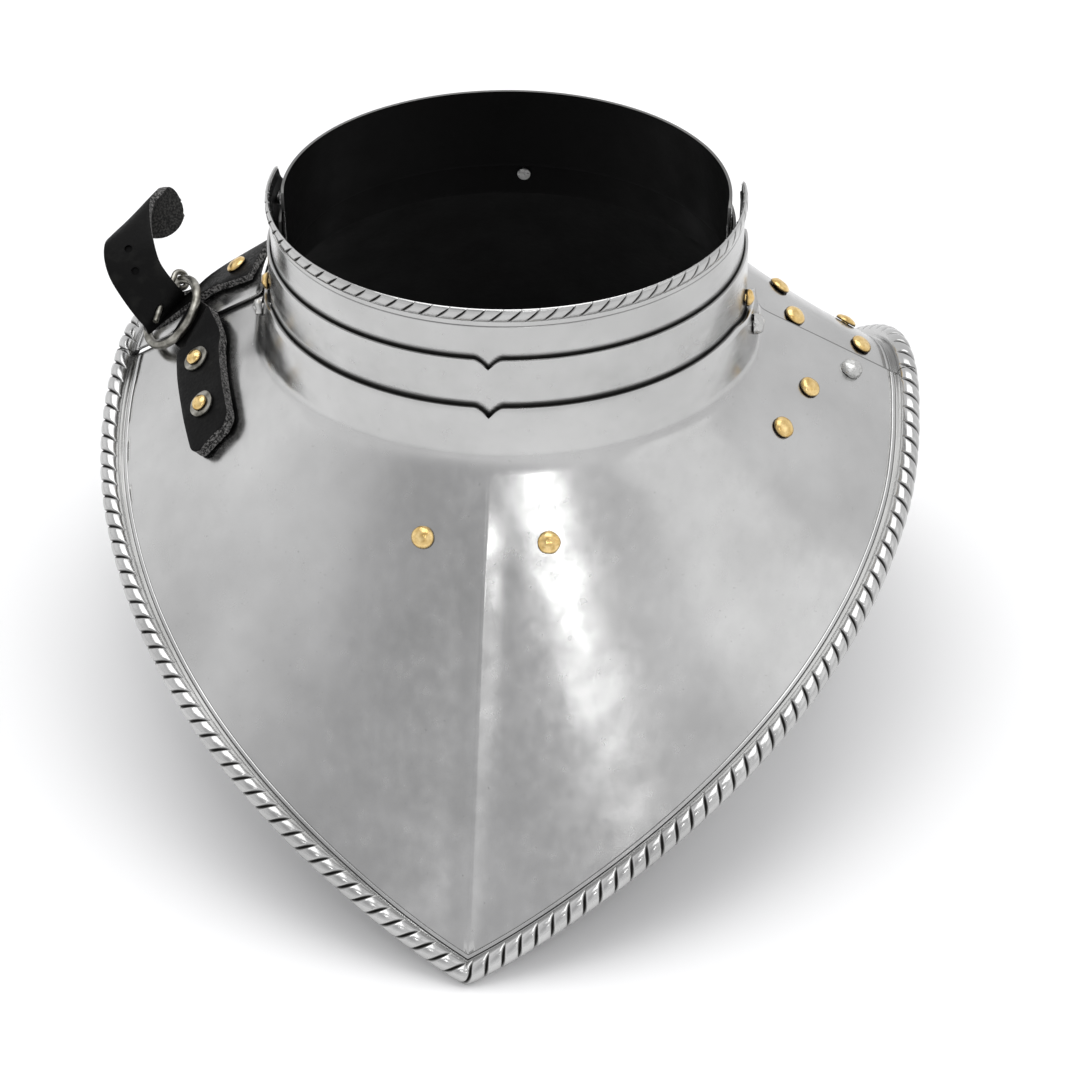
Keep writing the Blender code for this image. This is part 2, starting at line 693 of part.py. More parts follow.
def prism(name, outline, half_width, tools):
    """A shape of the buckle's fold: an outline in pull and face, run along the ring's side."""
    mesh = bpy.data.meshes.new(name)
    count = len(outline)
    vertices = [ring_place(side, pull, face) for side in (-half_width, half_width)
                for pull, face in outline]
    faces = [tuple(range(count)), tuple(reversed(range(count, 2 * count)))]
    for i in range(count):
        j = (i + 1) % count
        faces.append((j, i, i + count, j + count))
    mesh.from_pydata(vertices, [], faces)
    shape = bmesh.new()
    shape.from_mesh(mesh)
    bmesh.ops.recalc_face_normals(shape, faces=shape.faces)
    shape.to_mesh(mesh)
    shape.free()
    made = bpy.data.objects.new(name, mesh)
    tools.objects.link(made)
    hide_tool(made)
    return made


def build_washer(name, place, normal, metal, parts):
    mesh = bpy.data.meshes.new(name)
    inner = RIVET_HOLE_IN_LEATHER
    corners = ((inner, 0.0), (WASHER_RADIUS, 0.0), (WASHER_RADIUS, WASHER), (inner, WASHER))
    mesh.from_pydata([(x, 0.0, z) for x, z in reversed(corners)], [(0, 1), (1, 2), (2, 3), (3, 0)],
                     [])
    mesh.materials.append(metal)
    made = bpy.data.objects.new(name, mesh)
    made.matrix_world = Matrix.Translation(place) @ orient(normal)
    parts.objects.link(made)
    turn = made.modifiers.new("turn", "SCREW")
    turn.steps = 12
    turn.render_steps = 12
    turn.use_merge_vertices = True
    turn.merge_threshold = 0.00001


def wire_object(name, points, radius, cyclic, metal, parts):
    """A round wire along points."""
    curve = bpy.data.curves.new(name, "CURVE")
    curve.dimensions = "3D"
    curve.bevel_depth = radius
    curve.bevel_resolution = 2
    curve.use_fill_caps = True
    spline = curve.splines.new("POLY")
    spline.points.add(len(points) - 1)
    for knot, place in zip(spline.points, points):
        knot.co = (*place, 1.0)
    spline.use_cyclic_u = cyclic
    guide = bpy.data.objects.new(name, curve)
    parts.objects.link(guide)
    bpy.context.view_layer.update()
    seen = guide.evaluated_get(bpy.context.evaluated_depsgraph_get())
    mesh = bpy.data.meshes.new_from_object(seen)
    bpy.data.objects.remove(guide)
    shape = bmesh.new()
    shape.from_mesh(mesh)
    bmesh.ops.remove_doubles(shape, verts=shape.verts, dist=0.00002)
    bmesh.ops.recalc_face_normals(shape, faces=shape.faces)
    shape.to_mesh(mesh)
    shape.free()
    mesh.materials.clear()
    mesh.materials.append(metal)
    mesh.shade_smooth()
    made = bpy.data.objects.new(name, mesh)
    parts.objects.link(made)
    return made


def build_buckle(parts, pewter):
    """Round wire ring and its wire tongue, hinged on the ring and passed through the strap."""
    count = 28
    points = []
    for i in range(count):
        turn = math.tau * i / count
        points.append(ring_place(RING_RADIUS * math.cos(turn), RING_RADIUS * math.sin(turn), 0.0))
    wire_object("buckle_ring", points, RING_WIRE, True, pewter, parts)
    hinge = Vector(TONGUE_HINGE)
    inward = -hinge.normalized()
    loop = RING_WIRE + RING_PLAY + TONGUE_WIRE
    points = []
    for degrees in spread(8.0, -270.0, 30.0):
        turn = math.radians(degrees)
        at = hinge + inward * loop * math.cos(turn)
        points.append(ring_place(at.x, at.y, loop * math.sin(turn)))
    points += [ring_place(*run) for run in TONGUE_RUN]
    wire_object("buckle_tongue", points, TONGUE_WIRE, False, pewter, parts)


def build_front_plate(parts, tools, steel):
    """Breast plate: pointed, keeled, with a raised neck flange and a rolled rim."""
    seam = BACK_END_LEFT - 360.0
    shown = front_angles(seam + ROLL_PAUSE, FRONT_END_RIGHT, 6.2)
    columns = []
    for angle in spread(FRONT_END_LEFT, seam, 6.0) + shown:
        top = STAND_HEIGHT - FLANGE_DROP - cusp_drop(angle)
        top -= FLANGE_SIDE_DROP * smooth_step(abs(angle), 70.0, 82.0)
        top -= end_round(angle, FRONT_END_LEFT, FRONT_END_RIGHT)
        tucked = angle <= seam
        reach = rim_run(angle)[0]
        edge = 1.0 - TUCK / reach if tucked else 1.0
        columns.append(plate_column(angle, top, 0.0, 0.0, edge))
    plate = sheet_object("front_plate", columns, steel, parts)
    boolean(plate, roll_object("front_roll", shown, 0.0, tools), "UNION")
    return plate


def back_lift(angle):
    """The back plate lies under the breast plate on the right and over it on the left."""
    over = smooth_step(angle, 110.0, 240.0)
    return BACK_OVER * over - LAYER * (1.0 - over)


def build_back_plate(parts, tools, steel):
    """Back plate: shoulders and back, with its own flange inside the front lames."""
    shown = spread(FRONT_END_RIGHT + ROLL_PAUSE, BACK_END_LEFT, 6.0)
    deep = (PLATE_LAYER - BACK_PLATE_LAYER) * LAYER + FLANGE_LEAN
    columns = []
    for angle in spread(BACK_START_RIGHT, FRONT_END_RIGHT, 5.0) + shown:
        leave = smooth_step(angle, 232.0, 250.0)
        inset = deep * (1.0 - leave) - BACK_OVER * leave
        top = STAND_HEIGHT - BACK_FLANGE_DROP
        low = base_height(angle) + NECK_FILLET
        top += (low + 2.0 * BACK_OVER - top) * leave
        top += (low - top) * (1.0 - smooth_step(angle, LAME_END + 2.0, LAME_END + 10.0))
        tucked = angle <= FRONT_END_RIGHT
        reach = rim_run(angle)[0]
        edge = 1.0 - TUCK / reach if tucked else 1.0
        columns.append(plate_column(angle, top, back_lift(angle), inset, edge))
    plate = sheet_object("back_plate", columns, steel, parts)
    roll = roll_object("back_roll", shown, 0.0, tools)
    boolean(plate, roll, "UNION")
    return plate


def lame_column(angle, layer, top, bottom, hem):
    """A lame's inner face at one angle, from its top edge down, with a turned hem if it has one."""
    points = []
    low = neck_point(angle, layer, bottom)
    high = neck_point(angle, layer, top)
    if hem:
        way = heading(angle)
        for drop, out in ((0.0, 0.3), (0.25, 1.0), (0.75, 1.0), (1.0, 0.0)):
            points.append(high + way * HEM_RISE * out - Vector((0.0, 0.0, HEM_WIDTH * drop)))
    else:
        points.append(high)
    start = points[-1]
    for share in (0.5, 1.0):
        points.append(start.lerp(low, share))
    return points


def build_lame(name, layer, start, end, top, bottom, side_bottom, cusp, hem, parts, steel):
    """One collar lame; cusp and hem say what its top edge has.

    bottom: height of its lower edge in the middle, side_bottom: at the sides.
    """
    angles = front_angles(start, end, 6.0) if start < 0.0 else spread(start, end, 6.0)
    columns = []
    for angle in angles:
        cut = end_round(angle, start, end)
        edge = top - cut - (cusp_drop(angle) if cusp else 0.0)
        side = smooth_step(abs(angle), 40.0, 80.0)
        low = bottom + (side_bottom(angle) - bottom) * side + cut * 0.5
        columns.append(lame_column(angle, layer, edge, low, hem))
    return sheet_object(name, columns, steel, parts)


def build_lames(parts, steel):
    """Two lames in front and two behind, the upper ones inside the lower ones."""
    top = STAND_HEIGHT
    back_end = 360.0 - BACK_LAME_START
    low = top - MIDDLE_DROP - LAME_LAP
    build_lame("front_lame_top", 3, -LAME_END, LAME_END, top, low,
               lambda angle: top - FLANGE_DROP - TOP_LAME_TAIL, False, True, parts, steel)
    build_lame("front_lame_middle", 4, -LAME_END, LAME_END, top - MIDDLE_DROP,
               top - FLANGE_DROP - LAME_LAP, lambda angle: base_height(angle) + LAME_FOOT,
               True, False, parts, steel)
    hang_on(parts.objects["front_lame_top"], brass_pivot())
    hang_on(parts.objects["front_lame_middle"], steel_pivot())
    low = top - BACK_FLANGE_DROP - BACK_TOP_TAIL
    build_lame("back_lame_top", 0, BACK_LAME_START, back_end, top, low,
               lambda angle: low, False, False, parts, steel)
    under = top - BACK_FLANGE_DROP - BACK_LAP
    build_lame("back_lame_middle", 1, BACK_LAME_START, back_end, top - BACK_MIDDLE_DROP, under,
               lambda angle: under, False, False, parts, steel)


def main():
    clear_scene()
    parts = make_collection("gorget")
    tools = make_collection("tools")
    steel = make_material("polished_steel", (0.62, 0.62, 0.62), 1.0, 0.28)
    brass = make_material("brass", (0.80, 0.64, 0.36), 1.0, 0.32)
    leather = make_material("black_leather", (0.03, 0.03, 0.03), 0.0, 0.60)
    pewter = make_material("pewter", (0.44, 0.43, 0.39), 1.0, 0.45)
    rivets = Rivets(parts, tools)
    build_front_plate(parts, tools, steel)
    build_back_plate(parts, tools, steel)
    build_lames(parts, steel)
    plate_rivets(rivets, steel, brass)
    collar_rivets(rivets, steel, brass)
    build_buckle(parts, pewter)
    build_back_strap(parts, tools, rivets, leather, brass)
    build_buckle_strap(parts, tools, rivets, leather, brass, steel)
    for sheet_name, holes in rivets.holes.items():
        boolean(parts.objects[sheet_name], holes, "DIFFERENCE")


main()
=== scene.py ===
import math

import bmesh
import bpy
from mathutils import Matrix, Vector, noise


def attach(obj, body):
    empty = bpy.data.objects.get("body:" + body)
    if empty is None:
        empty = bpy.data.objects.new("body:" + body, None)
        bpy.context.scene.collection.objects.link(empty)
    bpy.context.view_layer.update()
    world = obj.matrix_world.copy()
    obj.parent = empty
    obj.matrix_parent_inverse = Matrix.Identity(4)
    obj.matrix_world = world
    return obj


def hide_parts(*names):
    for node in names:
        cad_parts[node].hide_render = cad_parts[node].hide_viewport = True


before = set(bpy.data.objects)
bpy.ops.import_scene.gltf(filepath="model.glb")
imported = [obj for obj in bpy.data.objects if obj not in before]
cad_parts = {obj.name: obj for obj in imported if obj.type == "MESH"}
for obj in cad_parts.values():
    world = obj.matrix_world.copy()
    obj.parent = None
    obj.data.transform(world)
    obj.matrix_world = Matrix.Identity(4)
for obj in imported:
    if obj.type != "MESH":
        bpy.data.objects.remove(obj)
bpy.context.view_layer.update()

# Breast plate: one sheet of polished steel, beaten to a point with a keel down its middle and
# a flange raised round the neck. Its rim is rolled over and filed like a rope, with fine lines
# cut beside it, and its inside is painted black.
SHEET = 0.0011
LAYER = 0.0015
FRONT_LAYER = 0.0020
BACK_OVER = 0.0020
STAND_HEIGHT = 0.1930
NECK_HALF_WIDTH = 0.0777
NECK_DEPTH = 0.0640
NECK_Y = 0.03125
COLLAR_FRONT_HEIGHT = 0.0590
COLLAR_BACK_HEIGHT = 0.0460
FLANGE_LEAN = 0.0030
FLANGE_DROP = 0.0385
FLANGE_SIDE_DROP = 0.0032
NECK_FILLET = 0.0036
FRONT_REACH = 0.1150
SHOULDER_REACH = 0.0545
BACK_REACH = 0.0550
SHOULDER_RISE = 0.1015
ROLL_RADIUS = 0.0036
ROLL_SINK = 0.0008
FLOOR_FLAT = 0.0003
KEEL_RISE = 0.0011
KEEL_HALF_WIDTH = 0.0090
KEEL_TOP = 0.0005
TUCK = 0.0100
FRONT_END_RIGHT = 97.0
FRONT_END_LEFT = -101.5
BACK_START_RIGHT = 90.0
BACK_END_LEFT = 265.0
ROLL_PAUSE = 0.15
END_ROUND = 0.0060
CUSP_DEPTH = 0.0040
CUSP_HALF_WIDTH = 0.0045
ROPE_PITCH = 0.0065
ROPE_CUT = 0.00095
ROPE_TURN_CUTS = 2
LINE_FROM_RIM = (0.0047, 0.0063)
LINE_DEPTH = (0.00034, 0.00022)
LINE_HALF_WIDTH = 0.00030
PLATE_LAYER = 5
PLATE_ROWS = 46

RIM_TABLE = (
    # angle, out, rise
    (0.0, 1.000, 0.000),
    (15.0, 0.740, 0.261),
    (30.0, 0.505, 0.475),
    (45.0, 0.296, 0.635),
    (60.0, 0.142, 0.765),
    (75.0, 0.050, 0.881),
    (90.0, 0.000, 0.995),
    (105.0, 0.000, 1.035),
    (120.0, 0.060, 0.830),
    (135.0, 0.320, 0.470),
    (150.0, 0.720, 0.150),
    (163.0, 0.960, 0.004),
    (180.0, 1.000, 0.000),
)


def smooth_step(value, low, high):
    share = min(max((value - low) / (high - low), 0.0), 1.0)
    return share * share * (3.0 - 2.0 * share)


def read_table(table, column, angle):
    """Smooth value of a column at an angle; the table is mirrored at its last row."""
    last = table[-1][0]
    rows = [(row[0], row[column]) for row in table]
    first_step = rows[1][0] - rows[0][0]
    rows.insert(0, (rows[0][0] - first_step, 2.0 * rows[0][1] - rows[1][1]))
    rows.append((2.0 * last - rows[-2][0], rows[-2][1]))
    for index in range(1, len(rows) - 2):
        if angle <= rows[index + 1][0] or index == len(rows) - 3:
            break
    (a0, v0), (a1, v1), (a2, v2), (a3, v3) = rows[index - 1:index + 3]
    slope_1 = (v2 - v0) / (a2 - a0)
    slope_2 = (v3 - v1) / (a3 - a1)
    width = a2 - a1
    t = (angle - a1) / width
    return (v1 * (1 + 2 * t) * (1 - t) ** 2 + slope_1 * width * t * (1 - t) ** 2
            + v2 * t * t * (3 - 2 * t) + slope_2 * width * t * t * (t - 1))


def fold(angle):
    return abs((angle + 180.0) % 360.0 - 180.0)


def heading(angle):
    turn = math.radians(angle)
    return Vector((math.sin(turn), -math.cos(turn), 0.0))


def neck_point(angle, layer, height):
    """A point on the inner face of one of the collar's layers."""
    way = heading(angle)
    depth = NECK_DEPTH + layer * (FRONT_LAYER if way.y < 0.0 else LAYER)
    return Vector(((NECK_HALF_WIDTH + layer * LAYER) * way.x, NECK_Y + depth * way.y, height))


def base_height(angle):
    lift = (COLLAR_FRONT_HEIGHT - COLLAR_BACK_HEIGHT) * smooth_step(fold(angle), 80.0, 116.0)
    return STAND_HEIGHT - COLLAR_FRONT_HEIGHT + lift


def rim_run(angle):
    """Reach of the rim from the neck, and its height."""
    at = fold(angle)
    far = FRONT_REACH if at < 90.0 else BACK_REACH
    reach = SHOULDER_REACH + read_table(RIM_TABLE, 1, at) * (far - SHOULDER_REACH)
    rise = read_table(RIM_TABLE, 2, at) * SHOULDER_RISE
    fall = math.atan2(base_height(angle) - rise, reach)
    rest = (ROLL_RADIUS - ROLL_SINK) * (1.0 - math.cos(fall)) + ROLL_SINK - FLOOR_FLAT
    return reach, rise + rest


def slope_point(angle, share, lift):
    """A point on the underside of the plates, from the neck (0) to the rim (1)."""
    reach, rim_height = rim_run(angle)
    base = base_height(angle)
    fall = math.atan2(base - rim_height, reach)
    start = neck_point(angle, PLATE_LAYER, base) + heading(angle) * FLANGE_LEAN
    out = share * reach
    aside = max(abs(start.x + heading(angle).x * out) - KEEL_TOP, 0.0)
    keel = KEEL_RISE * max(0.0, 1.0 - aside / KEEL_HALF_WIDTH) ** 2
    keel *= smooth_step(share, 0.0, 0.3) * (1.0 - smooth_step(share, 0.88, 1.0))
    rise = lift + (keel if fold(angle) < 90.0 else 0.0)
    height = base - share * (base - rim_height) + rise * math.cos(fall)
    run = heading(angle) * (out + rise * math.sin(fall))
    return start + run + Vector((0.0, 0.0, height - base))


def slope_normal(angle, share):
    along = slope_point(angle + 0.5, share, 0.0) - slope_point(angle - 0.5, share, 0.0)
    down = slope_point(angle, share + 0.02, 0.0) - slope_point(angle, share - 0.02, 0.0)
    normal = down.cross(along)
    if normal.z < 0.0:
        normal.negate()
    return normal.normalized()


def beaten(place, size=0.00010):
    """The small unevenness that a hammer and a file leave in a plate."""
    return size * (noise.noise(place * 38.0) + 0.6 * noise.noise(place * 90.0))


def plate_column(angle, top_height, lift, inset, edge_share):
    """The sheet's outer face at one angle: flange, fillet, slope, and the lines by the rim.

    lift: of the underside. Returns the points and the painted shade at each, dark in the bottoms
    of the lines.
    """
    lift += SHEET
    inset -= SHEET
    way = heading(angle)
    reach, rim_height = rim_run(angle)
    base = base_height(angle)
    fall = math.atan2(base - rim_height, reach)
    start = neck_point(angle, PLATE_LAYER, base) + way * (FLANGE_LEAN - inset)
    corner_height = base + inset * math.tan(fall) + lift / math.cos(fall)
    corner = Vector((start.x, start.y, corner_height))
    flange = max(top_height - corner_height, 0.0005)
    lean = FLANGE_LEAN * flange / (COLLAR_FRONT_HEIGHT - FLANGE_DROP) if inset <= 0.0 else 0.0
    top = corner - way * lean + Vector((0.0, 0.0, flange))
    rise = min(NECK_FILLET, flange * 0.8)
    fillet_start = corner + (top - corner).normalized() * rise
    share_0 = NECK_FILLET / reach
    fillet_end = slope_point(angle, share_0, lift)
    points = [top.lerp(fillet_start, k / 6.0) for k in range(7)]
    for k in range(1, 8):
        t = k / 8.0
        points.append(fillet_start * (1 - t) ** 2 + corner * 2 * t * (1 - t) + fillet_end * t * t)
    length = math.hypot(reach, base - rim_height)
    lines = []
    if edge_share >= 1.0:
        for away, depth in zip(LINE_FROM_RIM[::-1], LINE_DEPTH[::-1]):
            for step in (1.0, 0.5, 0.0, -0.5, -1.0):
                share = 1.0 - (away + step * LINE_HALF_WIDTH) / length
                lines.append((share, -depth * (1.0 - abs(step))))
        lines += [(1.0 - 0.0030 / length, 0.0), (1.0, 0.0)]
    plain_rows = PLATE_ROWS - len(lines)
    plain_end = lines[0][0] if lines else edge_share
    marks = []
    for k in range(1, plain_rows + 1):
        share = k / (plain_rows + (1.0 if lines else 0.0))
        marks.append((share_0 + (plain_end - share_0) * share, 0.0))
    marks += lines
    points.append(fillet_end)
    shade_paint = [0.0] * len(points)
    for share, depth in marks:
        plain = slope_point(angle, share, lift)
        points.append(slope_point(angle, share, lift + depth + beaten(plain)))
        # painted shade in the bottom of each cut line
        shade_paint.append(0.75 if depth < -0.5 * LINE_DEPTH[1] else 0.0)
    return points, shade_paint


def beside_edge(angle, edge):
    """Painted shade in the corner where the other plate's edge lies on this one."""
    return 0.85 * (1.0 - smooth_step(abs(angle - edge), 0.35, 0.75))


def cusp_drop(angle):
    """The small pointed notch in the middle of a collar edge."""
    aside = abs(NECK_HALF_WIDTH * math.sin(math.radians(angle)))
    return CUSP_DEPTH * max(0.0, 1.0 - aside / CUSP_HALF_WIDTH) ** 1.5


def end_round(angle, start, end, size):
    near = math.radians(min(angle - start, end - angle)) * NECK_HALF_WIDTH
    share = max(0.0, 1.0 - near / size)
    return size * (1.0 - math.sqrt(max(0.0, 1.0 - share * share)))


def spread(start, end, step):
    count = max(1, round(abs(end - start) / step))
    return [start + (end - start) * i / count for i in range(count + 1)]


def front_angles(left, right, step):
    """Angles across the breast, close together at the keel."""
    middle = [0.0]
    for away in (0.12, 0.3, 0.5, 0.75, 1.0, 1.3, 1.7, 2.2, 2.8, 3.4, 4.2):
        middle = [-away] + middle + [away]
    return spread(left, -5.0, step) + middle + spread(5.0, right, step)


def select_only(piece):
    bpy.ops.object.select_all(action="DESELECT")
    piece.select_set(True)
    bpy.context.view_layer.objects.active = piece


def apply_modifier(piece, kind, **settings):
    select_only(piece)
    step = piece.modifiers.new(kind.lower(), kind)
    for name, value in settings.items():
        setattr(step, name, value)
    bpy.ops.object.modifier_apply(modifier=step.name)


def grid_sheet(name, columns, grime=None):
    """A grid primitive with its points moved onto the columns of the sheet.

    The last argument gives how much painted shade lies at each point: in the bottoms of cuts and
    lines, and along edges where other parts lie on the sheet.
    """
    bpy.ops.object.select_all(action="DESELECT")
    rows = len(columns[0])
    bpy.ops.mesh.primitive_grid_add(x_subdivisions=rows - 1, y_subdivisions=len(columns) - 1)
    piece = bpy.context.object
    piece.name = name
    piece.data.name = name
    flat = [value for column in columns for point in column for value in point]
    piece.data.vertices.foreach_set("co", flat)
    # the painted shade is kept in a point attribute that the materials darken by
    layer = piece.data.attributes.new("grime", "FLOAT", "POINT")
    if grime:
        layer.data.foreach_set("value", [value for column in grime for value in column])
    piece.data.update()
    return piece


def thicken(piece, thickness, offset, outside, inside, out_way, edge=None, round_edge=0.00028,
            sharp=60):
    """Give a sheet its thickness, paint its two faces and break its sharp edges.

    out_way: the way that the outer face looks, at the sheet's middle.
    sharp: edges that turn more than this many degrees are rounded.
    """
    faces = len(piece.data.polygons)
    piece.data.materials.clear()
    for material in (outside, inside, edge or outside):
        piece.data.materials.append(material)
    apply_modifier(piece, "SOLIDIFY", thickness=thickness, offset=offset)
    mesh = piece.data
    first_is_out = mesh.polygons[faces // 2].normal.dot(out_way) > 0.0
    for face in mesh.polygons:
        if face.index >= 2 * faces:
            face.material_index = 2
        else:
            face.material_index = 0 if (face.index < faces) == first_is_out else 1
    apply_modifier(piece, "BEVEL", width=round_edge, segments=2, limit_method="ANGLE",
                   angle_limit=math.radians(sharp))
    select_only(piece)
    bpy.ops.object.shade_smooth_by_angle(angle=math.radians(38))


def even_run(angles, place_at, step):
    """Angles and places an even step apart along a run of angles, and the run's length."""
    fine = []
    for start, end in zip(angles, angles[1:]):
        fine += spread(start, end, 0.1)[1 if fine else 0:]
    places = [place_at(angle) for angle in fine]
    run = [0.0]
    for before, after in zip(places, places[1:]):
        run.append(run[-1] + (after - before).length)
    count = max(2, round(run[-1] / step))
    made = []
    index = 0
    for k in range(count + 1):
        goal = run[-1] * k / count
        while index < len(run) - 2 and run[index + 1] < goal:
            index += 1
        t = (goal - run[index]) / max(run[index + 1] - run[index], 1e-9)
        made.append((fine[index] + (fine[index + 1] - fine[index]) * t,
                     places[index].lerp(places[index + 1], t)))
    return made, run[-1]


def leaf_cut(phase, pitch, half_width, window):
    """Depth of a leaf-shaped file cut, 1 at its deepest; phase 0 is the cut's middle."""
    if window <= 0.0:
        return 0.0
    wide = half_width * window ** 0.7
    return max(0.0, 1.0 - abs(phase) * pitch / wide) * min(1.0, 1.6 * window)


CUT_PHASES = (-0.5, -0.36, -0.24, -0.15, -0.10, -0.05, 0.0, 0.05, 0.10, 0.15, 0.24, 0.36)


def roll_profile(turn):
    """The roll's section without cuts, as (out, up): round, and eased into the sheet inside."""
    if turn >= -75.0:
        at = math.radians(turn)
        return ROLL_RADIUS * math.sin(at), ROLL_RADIUS * math.cos(at)
    t = (-75.0 - turn) / 105.0
    ease = ((-0.966, 0.259), (-0.99, -0.44), (-1.16, -0.486))
    under = ((-1.16, -0.486), (-0.90, -0.86), (0.0, -1.0))
    three, u = (ease, t / 0.5) if t < 0.5 else (under, (t - 0.5) / 0.5)
    return tuple(ROLL_RADIUS * (three[0][k] * (1 - u) ** 2 + three[1][k] * 2 * u * (1 - u)
                                + three[2][k] * u * u) for k in range(2))


def roped_roll(name, angles):
    """A rolled rim along the plate's edge, with leaning file cuts like a rope's lay."""
    step = 0.0004
    track, length = even_run(angles, lambda a: slope_point(a, 1.0, ROLL_RADIUS - ROLL_SINK), step)
    places = [place for _, place in track]
    last = len(places) - 1
    ways = []
    for i in range(last + 1):
        along = (places[min(i + 6, last)] - places[max(i - 6, 0)]).normalized()
        neck = Vector((0.0, NECK_Y, STAND_HEIGHT - COLLAR_FRONT_HEIGHT))
        slope = (places[i] - neck).normalized()
        up = along.cross(slope)
        up = (up if up.z > 0.0 else -up).normalized()
        out = along.cross(up).normalized()
        ways.append((out if out.dot(slope) > 0.0 else -out, up))
    pitch = length / round(length / ROPE_PITCH)
    lean = ROPE_TURN_CUTS * pitch / (2.0 * math.pi)
    turns = [-180.0 + 12.0 * k for k in range(31)]
    columns, grime = [], []
    for cut_index in range(-1, round(length / pitch) + 2):
        fade = noise.noise(Vector((cut_index * 3.7, 0.0, 0.0)))
        for phase in CUT_PHASES:
            column, shade_paint = [], []
            for turn in turns:
                run = (cut_index + phase) * pitch - lean * math.radians(turn)
                spot = min(max(run, 0.0), length) / length * last
                low = min(int(spot), last - 1)
                place = places[low].lerp(places[low + 1], spot - low)
                out_way = ways[low][0].lerp(ways[low + 1][0], spot - low)
                up_way = ways[low][1].lerp(ways[low + 1][1], spot - low)
                window = max(0.0, 1.0 - ((turn - 32.0) / (84.0 + 5.0 * fade)) ** 2)
                if not 0.0 < run < length:
                    window = 0.0
                cut = leaf_cut(phase, pitch, 0.00095 + 0.00012 * fade, window)
                out, up = roll_profile(turn)
                strand = 0.00028 * window * math.sin(math.pi * abs(phase)) ** 2
                share = 1.0 + (strand - ROPE_CUT * cut + beaten(place, 0.00005)) / ROLL_RADIUS
                point = place + out_way * out * share + up_way * up * share
                point.z = max(point.z, 0.0)
                column.append(point)
                # painted shade in the bottoms of the rope's file cuts
                shade_paint.append(min(1.0, 1.5 * cut))
            columns.append(column)
            grime.append(shade_paint)
    roll = grid_sheet(name, columns, grime)
    select_only(roll)
    bpy.ops.object.mode_set(mode="EDIT")
    bpy.ops.mesh.select_all(action="SELECT")
    bpy.ops.mesh.remove_doubles(threshold=0.00002)
    bpy.ops.mesh.fill_holes(sides=40)
    bpy.ops.mesh.select_all(action="SELECT")
    bpy.ops.mesh.normals_make_consistent(inside=False)
    bpy.ops.object.mode_set(mode="OBJECT")
    bpy.ops.object.shade_smooth_by_angle(angle=math.radians(48))
    return roll


def join(first, *others):
    select_only(first)
    for other in others:
        other.select_set(True)
    bpy.ops.object.join()
    return bpy.context.object


def new_material(name, colour, metallic, roughness):
    material = bpy.data.materials.new(name)
    material.use_nodes = True
    shader = material.node_tree.nodes["Principled BSDF"]
    shader.inputs["Base Color"].default_value = (*colour, 1.0)
    shader.inputs["Metallic"].default_value = metallic
    shader.inputs["Roughness"].default_value = roughness
    return material, material.node_tree, shader


def noise_node(tree, scale, detail=4.0, stretch=(1.0, 1.0, 1.0)):
    """Noise on the object's own coordinates; returns its factor socket."""
    where = tree.nodes.new("ShaderNodeTexCoord")
    size = tree.nodes.new("ShaderNodeMapping")
    size.inputs["Scale"].default_value = stretch
    tree.links.new(where.outputs["Object"], size.inputs["Vector"])
    grain = tree.nodes.new("ShaderNodeTexNoise")
    grain.inputs["Scale"].default_value = scale
    grain.inputs["Detail"].default_value = detail
    tree.links.new(size.outputs["Vector"], grain.inputs["Vector"])
    return grain.outputs["Fac"]


def map_range(tree, socket, low, high, to_low, to_high):
    step = tree.nodes.new("ShaderNodeMapRange")
    tree.links.new(socket, step.inputs["Value"])
    step.inputs["From Min"].default_value = low
    step.inputs["From Max"].default_value = high
    step.inputs["To Min"].default_value = to_low
    step.inputs["To Max"].default_value = to_high
    return step.outputs["Result"]


def mix_colours(tree, factor, dark, light):
    """Mix two colours; each is a plain colour or another node's socket."""
    step = tree.nodes.new("ShaderNodeMix")
    step.data_type = "RGBA"
    tree.links.new(factor, step.inputs[0])
    for colour, at in ((dark, 6), (light, 7)):
        if isinstance(colour, tuple):
            step.inputs[at].default_value = (*colour, 1.0)
        else:
            tree.links.new(colour, step.inputs[at])
    return step.outputs[2]


def add_bump(tree, shader, socket, strength, distance, before=None):
    step = tree.nodes.new("ShaderNodeBump")
    step.inputs["Strength"].default_value = strength
    step.inputs["Distance"].default_value = distance
    tree.links.new(socket, step.inputs["Height"])
    if before:
        tree.links.new(before.outputs["Normal"], step.inputs["Normal"])
    tree.links.new(step.outputs["Normal"], shader.inputs["Normal"])
    return step


def polished_steel():
    """Hand-polished steel: soft clouds in its shine, fine buffing lines, and painted shade in its
    cuts and along the edges where other parts lie on it.
    """
    material, tree, shader = new_material("polished_steel", (0.60, 0.60, 0.59), 1.0, 0.24)
    clouds = map_range(tree, noise_node(tree, 24.0, 4.0), 0.32, 0.68, 0.0, 1.0)
    colour = mix_colours(tree, clouds, (0.44, 0.44, 0.435), (0.55, 0.55, 0.545))
    specks = map_range(tree, noise_node(tree, 900.0, 2.0), 0.70, 0.78, 0.0, 0.35)
    colour = mix_colours(tree, specks, colour, (0.20, 0.20, 0.19))
    kept = tree.nodes.new("ShaderNodeAttribute")
    kept.attribute_name = "grime"
    # the painted shade darkens the steel's colour and dulls its shine
    colour = mix_colours(tree, kept.outputs["Fac"], colour, (0.035, 0.034, 0.032))
    tree.links.new(colour, shader.inputs["Base Color"])
    buff = noise_node(tree, 240.0, 4.0, (1.0, 0.15, 1.0))
    gloss = map_range(tree, buff, 0.3, 0.7, 0.17, 0.28)
    rough = tree.nodes.new("ShaderNodeMath")
    rough.operation = "MULTIPLY_ADD"
    tree.links.new(kept.outputs["Fac"], rough.inputs[0])
    rough.inputs[1].default_value = 0.4
    tree.links.new(gloss, rough.inputs[2])
    tree.links.new(rough.outputs["Value"], shader.inputs["Roughness"])
    waves = noise_node(tree, 30.0, 2.0)
    first = add_bump(tree, shader, waves, 0.45, 0.0012)
    add_bump(tree, shader, buff, 0.12, 0.00015, first)
    return material


